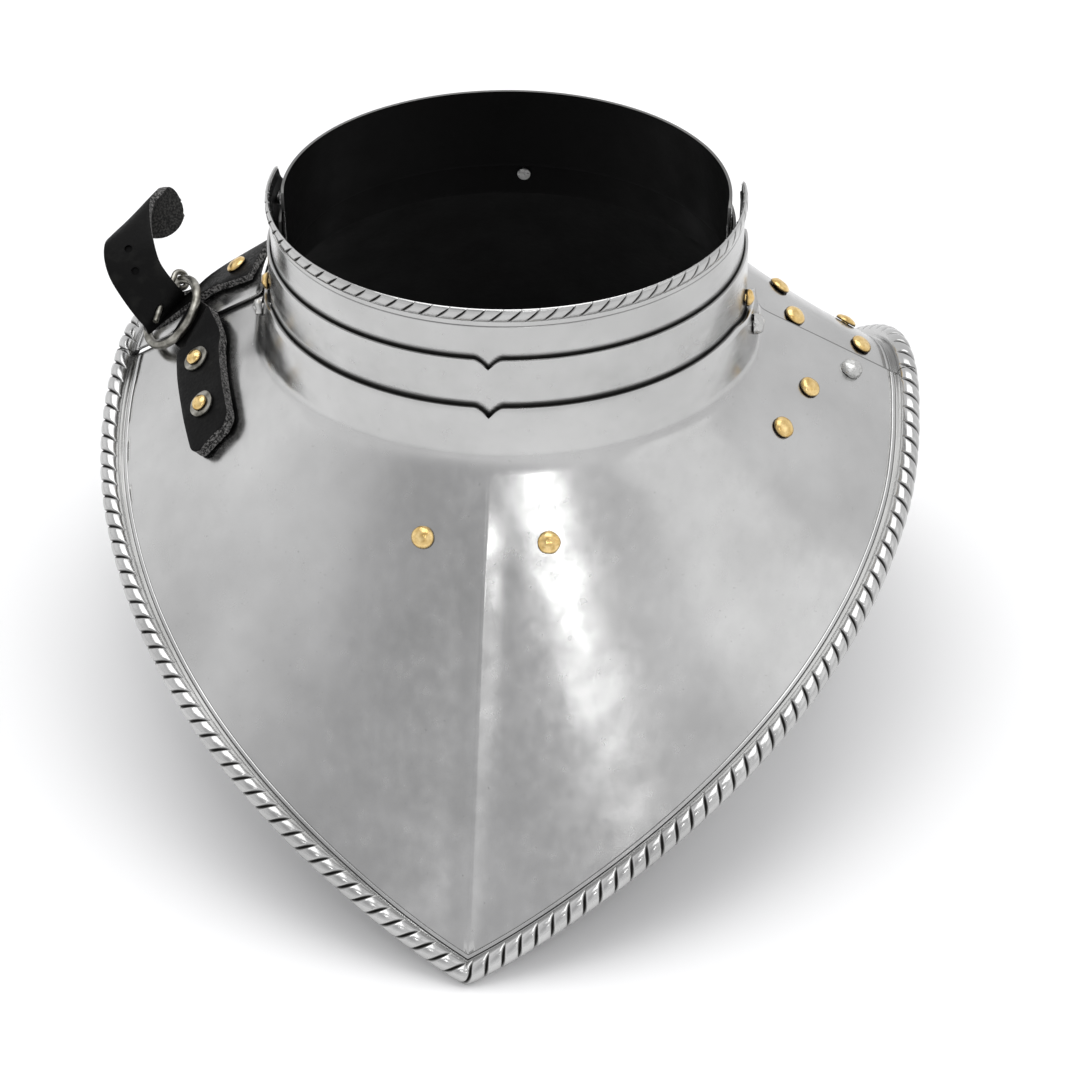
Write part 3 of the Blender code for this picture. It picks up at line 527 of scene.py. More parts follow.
def black_paint():
    """Black paint brushed over the inside of the plates; the same black serves as painted shade in
    the strap's punched holes.
    """
    material, tree, shader = new_material("black_paint", (0.0025, 0.0025, 0.0025), 0.0, 0.5)
    shader.inputs["Specular IOR Level"].default_value = 0.06
    grain = noise_node(tree, 420.0, 3.0)
    add_bump(tree, shader, grain, 0.25, 0.0003)
    gloss = map_range(tree, noise_node(tree, 60.0, 3.0), 0.3, 0.7, 0.40, 0.60)
    tree.links.new(gloss, shader.inputs["Roughness"])
    return material


STEEL = polished_steel()
PAINT_AND_HOLE_SHADE = black_paint()


def breast_plate():
    seam = BACK_END_LEFT - 360.0
    shown = [seam + ROLL_PAUSE, seam + 0.35, seam + 0.55, seam + 0.75]
    shown += front_angles(seam + 1.2, FRONT_END_RIGHT - 0.6, 1.4)
    shown += [FRONT_END_RIGHT - 0.35, FRONT_END_RIGHT - 0.2, FRONT_END_RIGHT]
    columns, grime = [], []
    for angle in spread(FRONT_END_LEFT, seam, 1.4) + shown:
        top = STAND_HEIGHT - FLANGE_DROP - cusp_drop(angle)
        top -= FLANGE_SIDE_DROP * smooth_step(abs(angle), 70.0, 82.0)
        top -= end_round(angle, FRONT_END_LEFT, FRONT_END_RIGHT, END_ROUND)
        tucked = angle <= seam
        edge = 1.0 - TUCK / rim_run(angle)[0] if tucked else 1.0
        column, shade_paint = plate_column(angle, top, 0.0, 0.0, edge)
        columns.append(column)
        # painted shade along the seam where the back plate's edge lies over the breast plate, and
        # along the breast plate's own right edge where it lies on the back plate
        dark = beside_edge(angle, seam) if angle < 0.0 else 0.0
        if angle > FRONT_END_RIGHT - 0.3:
            dark = 0.6
        grime.append([max(value, dark) for value in shade_paint])
    plate = grid_sheet("breast_plate", columns, grime)
    thicken(plate, SHEET, -1.0, STEEL, PAINT_AND_HOLE_SHADE, Vector((0.0, -0.6, 0.8)))
    roll = roped_roll("breast_roll", (seam + ROLL_PAUSE, 0.0, FRONT_END_RIGHT))
    roll.data.materials.append(STEEL)
    plate = join(plate, roll)
    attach(plate, "shell")
    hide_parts("front_plate")


breast_plate()


# Back plate: a second sheet over the shoulders and the back. On the right it is tucked under
# the breast plate, and on the left it lies over it. Its flange stands inside the front lames,
# and its rim is rolled and roped like the breast's.
BACK_FLANGE_DROP = 0.0300
BACK_FLANGE_LOW = 0.0060
BACK_PLATE_LAYER = 2


def back_lift(angle):
    over = smooth_step(angle, 110.0, 240.0)
    return BACK_OVER * over - LAYER * (1.0 - over)


def back_plate():
    right = FRONT_END_RIGHT
    shown = [right + ROLL_PAUSE, right + 0.35, right + 0.55, right + 0.75]
    shown += spread(right + 1.2, BACK_END_LEFT, 1.5)
    deep = (PLATE_LAYER - BACK_PLATE_LAYER) * LAYER + FLANGE_LEAN
    columns, grime = [], []
    for angle in spread(BACK_START_RIGHT, right, 1.5) + shown:
        leave = smooth_step(angle, 232.0, 250.0)
        inset = deep * (1.0 - leave) - BACK_OVER * leave
        top = STAND_HEIGHT - BACK_FLANGE_DROP
        low = base_height(angle) + BACK_FLANGE_LOW
        top += (low + 2.0 * BACK_OVER - top) * leave
        top += (low - top) * (1.0 - smooth_step(angle, 104.0, 112.0))
        tucked = angle <= right
        edge = 1.0 - TUCK / rim_run(angle)[0] if tucked else 1.0
        column, shade_paint = plate_column(angle, top, back_lift(angle), inset, edge)
        columns.append(column)
        # painted shade along the seam where the breast plate's edge lies on the back plate
        grime.append([max(value, beside_edge(angle, right)) for value in shade_paint])
    plate = grid_sheet("back_plate_sheet", columns, grime)
    thicken(plate, SHEET, -1.0, STEEL, PAINT_AND_HOLE_SHADE, Vector((0.0, 0.8, 0.6)))
    roll = roped_roll("back_roll", (FRONT_END_RIGHT + ROLL_PAUSE, BACK_END_LEFT))
    roll.data.materials.append(STEEL)
    plate = join(plate, roll)
    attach(plate, "shell")
    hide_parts("back_plate")


back_plate()


# Collar lames: four narrow curved strips of steel, two in front and two behind, each upper one
# inside the one below. The front ones have a cusp in the middle, and the highest has a hem
# that is filed like a rope over a fine line. The front pair turns on its side rivets.
LAME_END = 102.0
BACK_LAME_START = 84.0
LAME_LAP = 0.0100
BACK_LAP = 0.0150
LAME_FOOT = 0.0056
LAME_TOP_SIDE_DROP = 0.0403
MIDDLE_DROP = 0.0200
BACK_MIDDLE_DROP = 0.0120
LAME_ROWS = 26
HEM_ROWS = 14
HEM_WIDTH = 0.0052
HEM_RISE = 0.0011
HEM_CUT = 0.0006
HEM_PITCH = 0.0060
HEM_LEAN = 1.0
HEM_LINE = 0.0072
HEM_LINE_DEPTH = 0.0003


def hem_point(angle, drop, phase):
    """How far the top lame's hem stands out at a depth below its edge, and the painted shade in
    its cuts and line.
    """
    window = max(0.0, 1.0 - (2.0 * drop / HEM_WIDTH - 1.0) ** 2)
    out = HEM_RISE * math.sqrt(window)
    fade = 1.0 - smooth_step(abs(angle), 90.0, 99.0)
    cut = leaf_cut(phase, HEM_PITCH, 0.00078, window) * fade
    aside = max(0.0, 1.0 - abs(drop - HEM_LINE) / LINE_HALF_WIDTH)
    line = aside * (1.0 - smooth_step(abs(angle), 84.0, 92.0))
    # painted shade in the bottoms of the hem's cuts and its line
    return out - HEM_CUT * cut - HEM_LINE_DEPTH * line, min(1.0, 2.0 * cut + 0.7 * line)


def lame(name, node, body, layer, angles, top, bottom, side_bottom, cusp=False, hem=False,
         covered=None):
    """One lame as a fine sheet; side_bottom gives its lower edge at the sides.

    covered: height at which the next lame hides it; just above that the steel gets painted shade.
    """
    start, end = angles[0][0], angles[-1][0]
    columns, grime = [], []
    for middle, phase in angles:
        column, shade_paint = [], []
        drops = [0.0, 0.0005, 0.001]
        if hem:
            drops = [k * HEM_WIDTH / HEM_ROWS for k in range(HEM_ROWS + 1)]
            drops += [HEM_LINE + k * LINE_HALF_WIDTH * 0.5 for k in range(-2, 3)]
        rest = len(drops)
        for index in range(rest + LAME_ROWS):
            drop = drops[min(index, rest - 1)]
            lean = HEM_LEAN * (HEM_WIDTH * 0.5 - drop) if hem else 0.0
            share = max(0.0, (index - rest + 1) / LAME_ROWS)
            lean *= 1.0 - share
            angle = middle + math.degrees(lean / NECK_HALF_WIDTH)
            angle = min(max(angle, start), end)
            cut = end_round(angle, start, end, END_ROUND)
            edge = top - cut - (cusp_drop(angle) if cusp else 0.0)
            side = smooth_step(abs(angle), 40.0, 80.0)
            low = bottom + (side_bottom(angle) - bottom) * side + cut * 0.5
            drop += share * (edge - drop - low)
            place = neck_point(angle, layer, edge - drop)
            out, dark = hem_point(angle, drop, phase) if hem and share <= 0.0 else (0.0, 0.0)
            if covered:
                near = place.z - covered(angle)
                # painted shade just above the edge of the lame that covers this one
                dark = max(dark, 0.95 * (1.0 - smooth_step(near, 0.0003, 0.0016)))
            elif not hem and not cusp:
                # painted shade along the top edge of each back lame
                dark = 0.7 * (1.0 - smooth_step(drop, 0.0006, 0.0016))
            column.append(place + heading(angle) * (SHEET + out + beaten(place, 0.00007)))
            shade_paint.append(dark)
        columns.append(column)
        grime.append(shade_paint)
    piece = grid_sheet(name, columns, grime)
    way = heading(angles[len(angles) // 2][0])
    thicken(piece, SHEET, -1.0, STEEL, PAINT_AND_HOLE_SHADE, way, round_edge=0.00018, sharp=84)
    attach(piece, body)
    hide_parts(node)
    return piece


def collar_lames():
    top = STAND_HEIGHT
    edge, length = even_run((-LAME_END, LAME_END), lambda a: neck_point(a, 3, top), 0.0002)
    cuts = round(length / HEM_PITCH)
    fine = []
    for cut in range(cuts + 1):
        for phase in CUT_PHASES:
            share = (cut + phase) / cuts
            if 0.0 <= share <= 1.0:
                fine.append((edge[round(share * (len(edge) - 1))][0], phase))
    plain = [(angle, 0.0) for angle in front_angles(-LAME_END, LAME_END, 1.5)]
    back = [(angle, 0.0) for angle in spread(BACK_LAME_START, 360.0 - BACK_LAME_START, 1.8)]
    lame("top_front_lame", "front_lame_top", "top_lame", 3, fine, top,
         top - MIDDLE_DROP - LAME_LAP, lambda a: top - LAME_TOP_SIDE_DROP, hem=True,
         covered=lambda a: top - MIDDLE_DROP - cusp_drop(a))
    lame("middle_front_lame", "front_lame_middle", "middle_lame", 4, plain, top - MIDDLE_DROP,
         top - FLANGE_DROP - LAME_LAP, lambda a: base_height(a) + LAME_FOOT, cusp=True,
         covered=lambda a: (top - FLANGE_DROP - cusp_drop(a)
                            - FLANGE_SIDE_DROP * smooth_step(abs(a), 70.0, 82.0)))
    low = top - BACK_FLANGE_DROP - 0.0020
    lame("top_back_lame", "back_lame_top", "shell", 0, back, top, low, lambda a: low)
    under = top - BACK_FLANGE_DROP - BACK_LAP
    lame("middle_back_lame", "back_lame_middle", "shell", 1, back, top - BACK_MIDDLE_DROP,
         under, lambda a: under)


collar_lames()


# Rivets: round-headed ones of brass with painted shade round the foot of each dome, and a few of
# steel with heads dented by the hammer. Each has a shank through the sheets and a flat tail
# inside.
RIVET_HEAD = 0.0040
RIVET_DOME = 0.0022
RIVET_SHANK = 0.0015
RIVET_TAIL = 0.0024
TAIL_HEIGHT = 0.0008
PLATE_SEAT = 0.0003
COLLAR_SEAT = 0.0002
SMALL_HEAD = 0.0031
STEEL_RIVET_DROP = 0.0488
BRASS_RIVET_DROP = 0.0375
STUD_DROP = 0.0110
BACK_RIVET_DROP = 0.0360


def brass():
    material, tree, shader = new_material("brass", (0.86, 0.68, 0.36), 1.0, 0.26)
    patches = map_range(tree, noise_node(tree, 420.0, 3.0), 0.3, 0.7, 0.0, 1.0)
    colour = mix_colours(tree, patches, (0.58, 0.38, 0.13), (0.90, 0.68, 0.33))
    kept = tree.nodes.new("ShaderNodeAttribute")
    kept.attribute_name = "grime"
    # painted shade round the foot of each dome
    colour = mix_colours(tree, kept.outputs["Fac"], colour, (0.03, 0.018, 0.008))
    tree.links.new(colour, shader.inputs["Base Color"])
    add_bump(tree, shader, noise_node(tree, 600.0, 2.0), 0.35, 0.0004)
    return material


def dented_steel():
    material, tree, shader = new_material("dented_steel", (0.52, 0.52, 0.51), 1.0, 0.30)
    add_bump(tree, shader, noise_node(tree, 520.0, 2.0), 0.6, 0.0006)
    gloss = map_range(tree, noise_node(tree, 900.0, 3.0), 0.3, 0.7, 0.2, 0.45)
    tree.links.new(gloss, shader.inputs["Roughness"])
    return material


BRASS = brass()
RIVET_STEEL = dented_steel()


def orient(normal):
    return Vector((0.0, 0.0, 1.0)).rotation_difference(normal).to_matrix().to_4x4()


def settle(piece, place, normal, spin=0.0):
    """Put a piece made at the origin in its place, kept in its mesh."""
    turn = Matrix.Rotation(spin, 4, "Z")
    piece.data.transform(Matrix.Translation(place) @ orient(normal) @ turn)
    piece.location = (0.0, 0.0, 0.0)


def rivet(node, body, place, normal, grip, metal, head=RIVET_HEAD, dome=RIVET_DOME,
          seat=PLATE_SEAT, dents=0.00012):
    """A domed head, a shank and a tail, modelled on their axis and then put in place."""
    bpy.ops.object.select_all(action="DESELECT")
    bpy.ops.mesh.primitive_uv_sphere_add(segments=28, ring_count=16, radius=1.0)
    top = bpy.context.object
    # painted shade round the foot of the head, which the brass material darkens by
    shade_paint = top.data.attributes.new("grime", "FLOAT", "POINT")
    shade_paint.data.foreach_set("value", [1.0 - smooth_step(point.co.z, 0.05, 0.30)
                                    for point in top.data.vertices])
    for point in top.data.vertices:
        flat = max(point.co.z, -0.12)
        spot = Vector((point.co.x * head, point.co.y * head, seat + dome * (0.10 + 0.90 * flat)))
        spot += point.co * dents * noise.noise(place * 900.0 + point.co * 1.7)
        point.co = spot
    low = -grip - seat
    bpy.ops.mesh.primitive_cylinder_add(vertices=20, radius=RIVET_SHANK,
                                        depth=seat * 2 - low, location=(0, 0, (seat + low) / 2))
    shank = bpy.context.object
    bpy.ops.mesh.primitive_cylinder_add(vertices=20, radius=RIVET_TAIL, depth=TAIL_HEIGHT,
                                        location=(0, 0, low - TAIL_HEIGHT / 2))
    tail = bpy.context.object
    for part in (shank, tail):
        select_only(part)
        bpy.ops.object.transform_apply(location=True, rotation=True, scale=True)
    whole = join(top, shank, tail)
    whole.name = node + "_made"
    settle(whole, place, normal)
    whole.data.materials.append(metal)
    bpy.ops.object.shade_smooth_by_angle(angle=math.radians(50))
    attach(whole, body)
    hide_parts(node)


def plate_rivets():
    for node, angle, share, lift, sheets, metal, dome in (
            ("rivet_breast_right", 11.5, 0.19, 0.0, 1, BRASS, RIVET_DOME),
            ("rivet_breast_left", -11.5, 0.19, 0.0, 1, BRASS, RIVET_DOME),
            ("rivet_shoulder_front", 68.5, 0.30, 0.0, 1, BRASS, RIVET_DOME),
            ("rivet_shoulder_mid", 82.5, 0.36, 0.0, 1, BRASS, RIVET_DOME),
            ("rivet_pivot", 92.5, 0.62, 0.0, 2, RIVET_STEEL, 1.5 * RIVET_DOME),
            ("rivet_back_near_front", 100.5, 0.28, -LAYER, 1, BRASS, RIVET_DOME),
            ("rivet_back_rim_front", 101.0, 0.74, -LAYER, 1, BRASS, RIVET_DOME),
            ("rivet_back_near", 110.0, 0.25, -LAYER, 1, BRASS, RIVET_DOME),
            ("rivet_back_rim", 110.0, 0.73, -LAYER, 1, BRASS, RIVET_DOME)):
        place = slope_point(angle, share, lift + SHEET)
        rivet(node, "shell", place, slope_normal(angle, share), SHEET + (sheets - 1) * LAYER,
              metal, dome=dome, dents=0.0002 if metal is BRASS else 0.0005)


def collar_rivets():
    turn = math.radians(85.0)
    y = neck_point(85.0, PLATE_LAYER, 0.0).y
    for side, word in ((1.0, "right"), (-1.0, "left")):
        out = Vector((side, 0.0, 0.0))
        height = STAND_HEIGHT - STEEL_RIVET_DROP
        tall = height - base_height(85.0)
        lean = FLANGE_LEAN * (1.0 - tall / (COLLAR_FRONT_HEIGHT - FLANGE_DROP))
        x = (NECK_HALF_WIDTH + PLATE_LAYER * LAYER) * math.sin(turn) + lean + SHEET
        grip = x - (NECK_HALF_WIDTH + (PLATE_LAYER - 1) * LAYER) * math.sin(turn)
        rivet("rivet_steel_" + word, "shell", Vector((side * x, y, height)), out, grip,
              RIVET_STEEL, head=0.0036, dome=0.0034, seat=COLLAR_SEAT, dents=0.0010)
        x = (NECK_HALF_WIDTH + (PLATE_LAYER - 1) * LAYER) * math.sin(turn) + SHEET
        rivet("rivet_brass_" + word, "middle_lame",
              Vector((side * x, y, STAND_HEIGHT - BRASS_RIVET_DROP)), out, LAYER + SHEET,
              BRASS, head=SMALL_HEAD, dome=0.0028, seat=COLLAR_SEAT, dents=0.0003)
    place = neck_point(-96.0, 3, STAND_HEIGHT - STUD_DROP) + heading(-96.0) * SHEET
    rivet("stud_front_lame", "top_lame", place, heading(-96.0), SHEET, RIVET_STEEL,
          head=0.0026, dome=0.0014)
    place = neck_point(180.0, BACK_PLATE_LAYER, STAND_HEIGHT - BACK_RIVET_DROP)
    rivet("rivet_back_collar", "shell", place + heading(180.0) * SHEET, heading(180.0),
          SHEET + LAYER, RIVET_STEEL, dents=0.0005)


plate_rivets()
collar_rivets()


# Buckle: a round ring of thick wire in dull pewter grey, tilted over the left shoulder, with a
# wire tongue hooked round it that goes through the strap's hole.
RING_RADIUS = 0.01335
RING_WIRE = 0.00165
TONGUE_WIRE = 0.0011
RING_PLAY = 0.0003
TONGUE_HINGE = Vector((0.01135, -0.00703, 0.0))
TONGUE_RUN = ((0.0055, -0.0035, 0.0041), (-0.0004, -0.0003, 0.0051), (-0.0059, 0.0030, 0.0056))


def ring_frame():
    """Centre of the ring, and its directions: side, pull to the short strap, and face."""
    face = Vector((-0.660, -0.270, 0.700)).normalized()
    side = Vector((0.496, 0.549, 0.680))
    side = (side - face * side.dot(face)).normalized()
    return slope_point(-97.0, 0.62, 0.0080), side, side.cross(face), face


def ring_place(side_run, pull_run, face_run):
    centre, side, pull, face = ring_frame()
    return centre + side * side_run + pull * pull_run + face * face_run


def ring_way(side_run, pull_run, face_run):
    return ring_place(side_run, pull_run, face_run) - ring_place(0.0, 0.0, 0.0)


def pewter():
    material, tree, shader = new_material("pewter", (0.40, 0.39, 0.35), 1.0, 0.36)
    patches = map_range(tree, noise_node(tree, 300.0, 4.0), 0.35, 0.65, 0.0, 1.0)
    colour = mix_colours(tree, patches, (0.13, 0.125, 0.108), (0.40, 0.39, 0.35))
    tree.links.new(colour, shader.inputs["Base Color"])
    add_bump(tree, shader, noise_node(tree, 700.0, 3.0), 0.4, 0.0003)
    return material


PEWTER = pewter()


def wire(name, points, radius):
    """A smooth round wire through points, as a mesh."""
    bpy.ops.object.select_all(action="DESELECT")
    bpy.ops.curve.primitive_nurbs_path_add()
    guide = bpy.context.object
    curve = guide.data
    curve.splines.clear()
    spline = curve.splines.new("POLY")
    spline.points.add(len(points) - 1)
    for knot, place in zip(spline.points, points):
        knot.co = (*place, 1.0)
    curve.bevel_depth = radius
    curve.bevel_resolution = 5
    curve.use_fill_caps = True
    bpy.ops.object.convert(target="MESH")
    made = bpy.context.object
    made.name = name
    bpy.ops.object.mode_set(mode="EDIT")
    bpy.ops.mesh.select_all(action="SELECT")
    bpy.ops.mesh.remove_doubles(threshold=0.00001)
    bpy.ops.mesh.normals_make_consistent(inside=False)
    bpy.ops.object.mode_set(mode="OBJECT")
    bpy.ops.object.shade_smooth_by_angle(angle=math.radians(50))
    return made


def eased(points, parts_between):
    """More points on a smooth run through the given ones."""
    made = []
    for i in range(len(points) - 1):
        p0, p1 = points[max(i - 1, 0)], points[i]
        p2, p3 = points[i + 1], points[min(i + 2, len(points) - 1)]
        for step in range(parts_between):
            t = step / parts_between
            made.append(0.5 * (2.0 * p1 + (p2 - p0) * t
                               + (2.0 * p0 - 5.0 * p1 + 4.0 * p2 - p3) * t * t
                               + (3.0 * p1 - p0 - 3.0 * p2 + p3) * t * t * t))
    made.append(points[-1])
    return made


def buckle():
    bpy.ops.object.select_all(action="DESELECT")
    bpy.ops.mesh.primitive_torus_add(major_segments=72, minor_segments=18,
                                     major_radius=RING_RADIUS, minor_radius=RING_WIRE)
    ring = bpy.context.object
    ring.name = "ring"
    for point in ring.data.vertices:
        point.co *= 1.0 + 0.006 * noise.noise(point.co * 260.0)
    centre, side, pull, face = ring_frame()
    turn = Matrix((side, pull, face)).transposed().to_4x4()
    if turn.determinant() < 0.0:
        turn = Matrix((side, -pull, face)).transposed().to_4x4()
    ring.data.transform(Matrix.Translation(centre) @ turn)
    ring.data.materials.append(PEWTER)
    bpy.ops.object.shade_smooth()
    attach(ring, "shell")
    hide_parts("buckle_ring")
    inward = -TONGUE_HINGE.normalized()
    loop = RING_WIRE + RING_PLAY + TONGUE_WIRE
    points = []
    for degrees in spread(8.0, -270.0, 12.0):
        turn = math.radians(degrees)
        at = TONGUE_HINGE + inward * loop * math.cos(turn)
        points.append(ring_place(at.x, at.y, loop * math.sin(turn)))
    points += eased([points[-1]] + [ring_place(*run) for run in TONGUE_RUN], 5)[1:]
    tongue = wire("tongue", points, TONGUE_WIRE)
    tongue.data.materials.append(PEWTER)
    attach(tongue, "shell")
    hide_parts("buckle_tongue")


buckle()


# Long strap: black harness leather, riveted to the back plate over the left shoulder. It comes
# up through the buckle's ring, stands up behind it and curls over at its punched free end. Its
# face is smooth, and its cut edges and its back are rough and grey.
STRAP_WIDTH = 0.0190
STRAP = 0.0026
STRAP_HOLE = 0.0015
STRAP_TIP_ROUND = 0.0085


def leather_face():
    material, tree, shader = new_material("leather_face", (0.008, 0.008, 0.008), 0.0, 0.5)
    shader.inputs["Specular IOR Level"].default_value = 0.09
    grain = noise_node(tree, 900.0, 5.0)
    add_bump(tree, shader, grain, 0.35, 0.0003)
    scuffs = map_range(tree, noise_node(tree, 150.0, 5.0), 0.55, 0.80, 0.0, 1.0)
    colour = mix_colours(tree, scuffs, (0.003, 0.003, 0.003), (0.011, 0.011, 0.010))
    tree.links.new(colour, shader.inputs["Base Color"])
    gloss = map_range(tree, grain, 0.3, 0.7, 0.34, 0.58)
    tree.links.new(gloss, shader.inputs["Roughness"])
    return material


def rough_leather(name, light):
    """Undyed fibres showing through the black, on cut edges and on the flesh side."""
    material, tree, shader = new_material(name, (0.06, 0.058, 0.055), 0.0, 0.95)
    fibre = noise_node(tree, 1300.0, 6.0)
    colour = mix_colours(tree, map_range(tree, fibre, 0.42, 0.64, 0.0, 1.0),
                         (0.004, 0.004, 0.004), light)
    tree.links.new(colour, shader.inputs["Base Color"])
    add_bump(tree, shader, fibre, 0.9, 0.0008)
    return material


LEATHER = leather_face()
LEATHER_EDGE = rough_leather("leather_edge", (0.21, 0.205, 0.20))
LEATHER_BACK = rough_leather("leather_back", (0.040, 0.039, 0.037))


def band(name, rows, thickness, hair_way):
    """A leather band through rows of (centre, width vector), with slightly rolled edges."""
    columns = []
    for index, (place, wide) in enumerate(rows):
        before = rows[max(index - 1, 0)][0]
        after = rows[min(index + 1, len(rows) - 1)][0]
        face = (after - before).cross(wide).normalized()
        column = []
        for k in range(11):
            across = k / 10.0 - 0.5
            dip = 0.00025 * (2.0 * across) ** 4 + 0.00012 * noise.noise(place * 120.0)
            column.append(place + wide * across + face * dip)
        columns.append(column)
    piece = grid_sheet(name, columns)
    thicken(piece, thickness, 0.0, LEATHER, LEATHER_BACK, hair_way, LEATHER_EDGE, 0.0006)
    return piece


def smooth_rows(rows, parts_between):
    centres = eased([row[0] for row in rows], parts_between)
    widths = eased([row[1] for row in rows], parts_between)
    return list(zip(centres, widths))


def rounded(rows, radius):
    """The rows again, with the corners at their first end cut round."""
    made = []
    gone = 0.0
    near = [0.02, 0.06, 0.12, 0.20, 0.30, 0.42, 0.56, 0.72, 0.88]
    for (place, wide), (next_place, next_wide) in zip(rows, rows[1:]):
        length = (next_place - place).length
        while near and near[0] * radius <= gone + length:
            run = near.pop(0) * radius
            t = (run - gone) / length
            full = wide.lerp(next_wide, t)
            short = radius - math.sqrt(max(0.0, radius ** 2 - (radius - run) ** 2))
            made.append((place.lerp(next_place, t),
                         full * (1.0 - 2.0 * short / full.length)))
        gone += length
        if gone > radius:
            made.append((next_place, next_wide))
    return made


def punch(piece, place, way, radius):
    """A punched hole from both faces, closed in the middle by a thin black sheet of painted shade;
    its walls take the same painted shade.
    """
    for side in (1.0, -1.0):
        bpy.ops.object.select_all(action="DESELECT")
        bpy.ops.mesh.primitive_cylinder_add(vertices=24, radius=radius, depth=0.008)
        tool = bpy.context.object
        start = place + way * side * 0.0043
        tool.data.transform(Matrix.Translation(start) @ orient(way))
        # the cutter's black goes onto the hole's walls and the thin sheet left in its middle, as
        # painted shade
        tool.data.materials.append(PAINT_AND_HOLE_SHADE)
        apply_modifier(piece, "BOOLEAN", operation="DIFFERENCE", solver="EXACT", object=tool,
                       material_mode="TRANSFER")
        bpy.data.objects.remove(tool)


def row_way(rows, index):
    run = rows[min(index + 1, len(rows) - 1)][0] - rows[max(index - 1, 0)][0]
    return run.cross(rows[index][1]).normalized()


def long_strap():
    lift = BACK_OVER + SHEET + PLATE_SEAT + STRAP * 0.5
    rows = []
    for angle, share in ((-106.0, 0.10), (-105.8, 0.26), (-105.5, 0.40)):
        wide = slope_point(angle - 3.0, share, 0.0) - slope_point(angle + 3.0, share, 0.0)
        rows.append((slope_point(angle, share, lift), wide.normalized() * STRAP_WIDTH))
    for side, pull, face, wide_side, wide_pull, wide_face in (
            # all in shares of the strap's width, from the ring's centre
            (0.00, -0.09, -0.02, 0.98, -0.06, -0.22),
            (-0.02, -0.02, 0.22, 0.98, 0.05, -0.30),
            (0.10, -0.18, 0.53, 0.90, 0.33, -0.45),
            (0.30, -0.48, 0.87, 0.82, 0.40, -0.55),
            (0.58, -0.76, 1.08, 0.84, 0.36, -0.50),
            (0.86, -1.05, 1.14, 0.90, 0.16, -0.42),
            (1.12, -1.36, 1.02, 0.92, 0.02, -0.24),
            (1.32, -1.55, 0.75, 0.92, -0.10, -0.06),
            (1.50, -1.63, 0.40, 0.82, -0.30, 0.30),
            (1.79, -1.63, 0.08, 0.72, -0.42, 0.55)):
        wide = ring_way(wide_side, wide_pull, wide_face).normalized() * STRAP_WIDTH
        rows.append((ring_place(side * STRAP_WIDTH, pull * STRAP_WIDTH, face * STRAP_WIDTH), wide))
    shaped = rounded(smooth_rows(rows, 9)[::-1], STRAP_TIP_ROUND)[::-1]
    strap = band("long_strap", shaped, STRAP, Vector((0.4, -0.6, 0.5)))
    prong = (ring_way(*TONGUE_RUN[-1]) - ring_way(*TONGUE_RUN[-2])).normalized()
    punch(strap, ring_place(*TONGUE_RUN[1]), prong, STRAP_HOLE)
    for at in (6, 7):
        punch(strap, rows[at][0], row_way(rows, at), STRAP_HOLE)
    select_only(strap)
    bpy.ops.object.shade_smooth_by_angle(angle=math.radians(38))
    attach(strap, "shell")
    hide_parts("back_strap")
    normal = slope_normal(-105.8, 0.26)
    rivet("rivet_back_strap", "shell", rows[1][0] + normal * STRAP * 0.5, normal,
          STRAP + PLATE_SEAT + SHEET, BRASS)


long_strap()


# Buckle strap: a short strap of the same leather, in two plies that pass under the ring's wire
# and are folded inside it. It is riveted to the breast plate through two uneven grey washers.
BUCKLE_STRAP = 0.0048
FOLD_HALF_WIDTH = 0.0092
BUCKLE_STRAP_ROUND = 0.0050
WASHER_RADIUS = 0.0050
WASHER = 0.0009


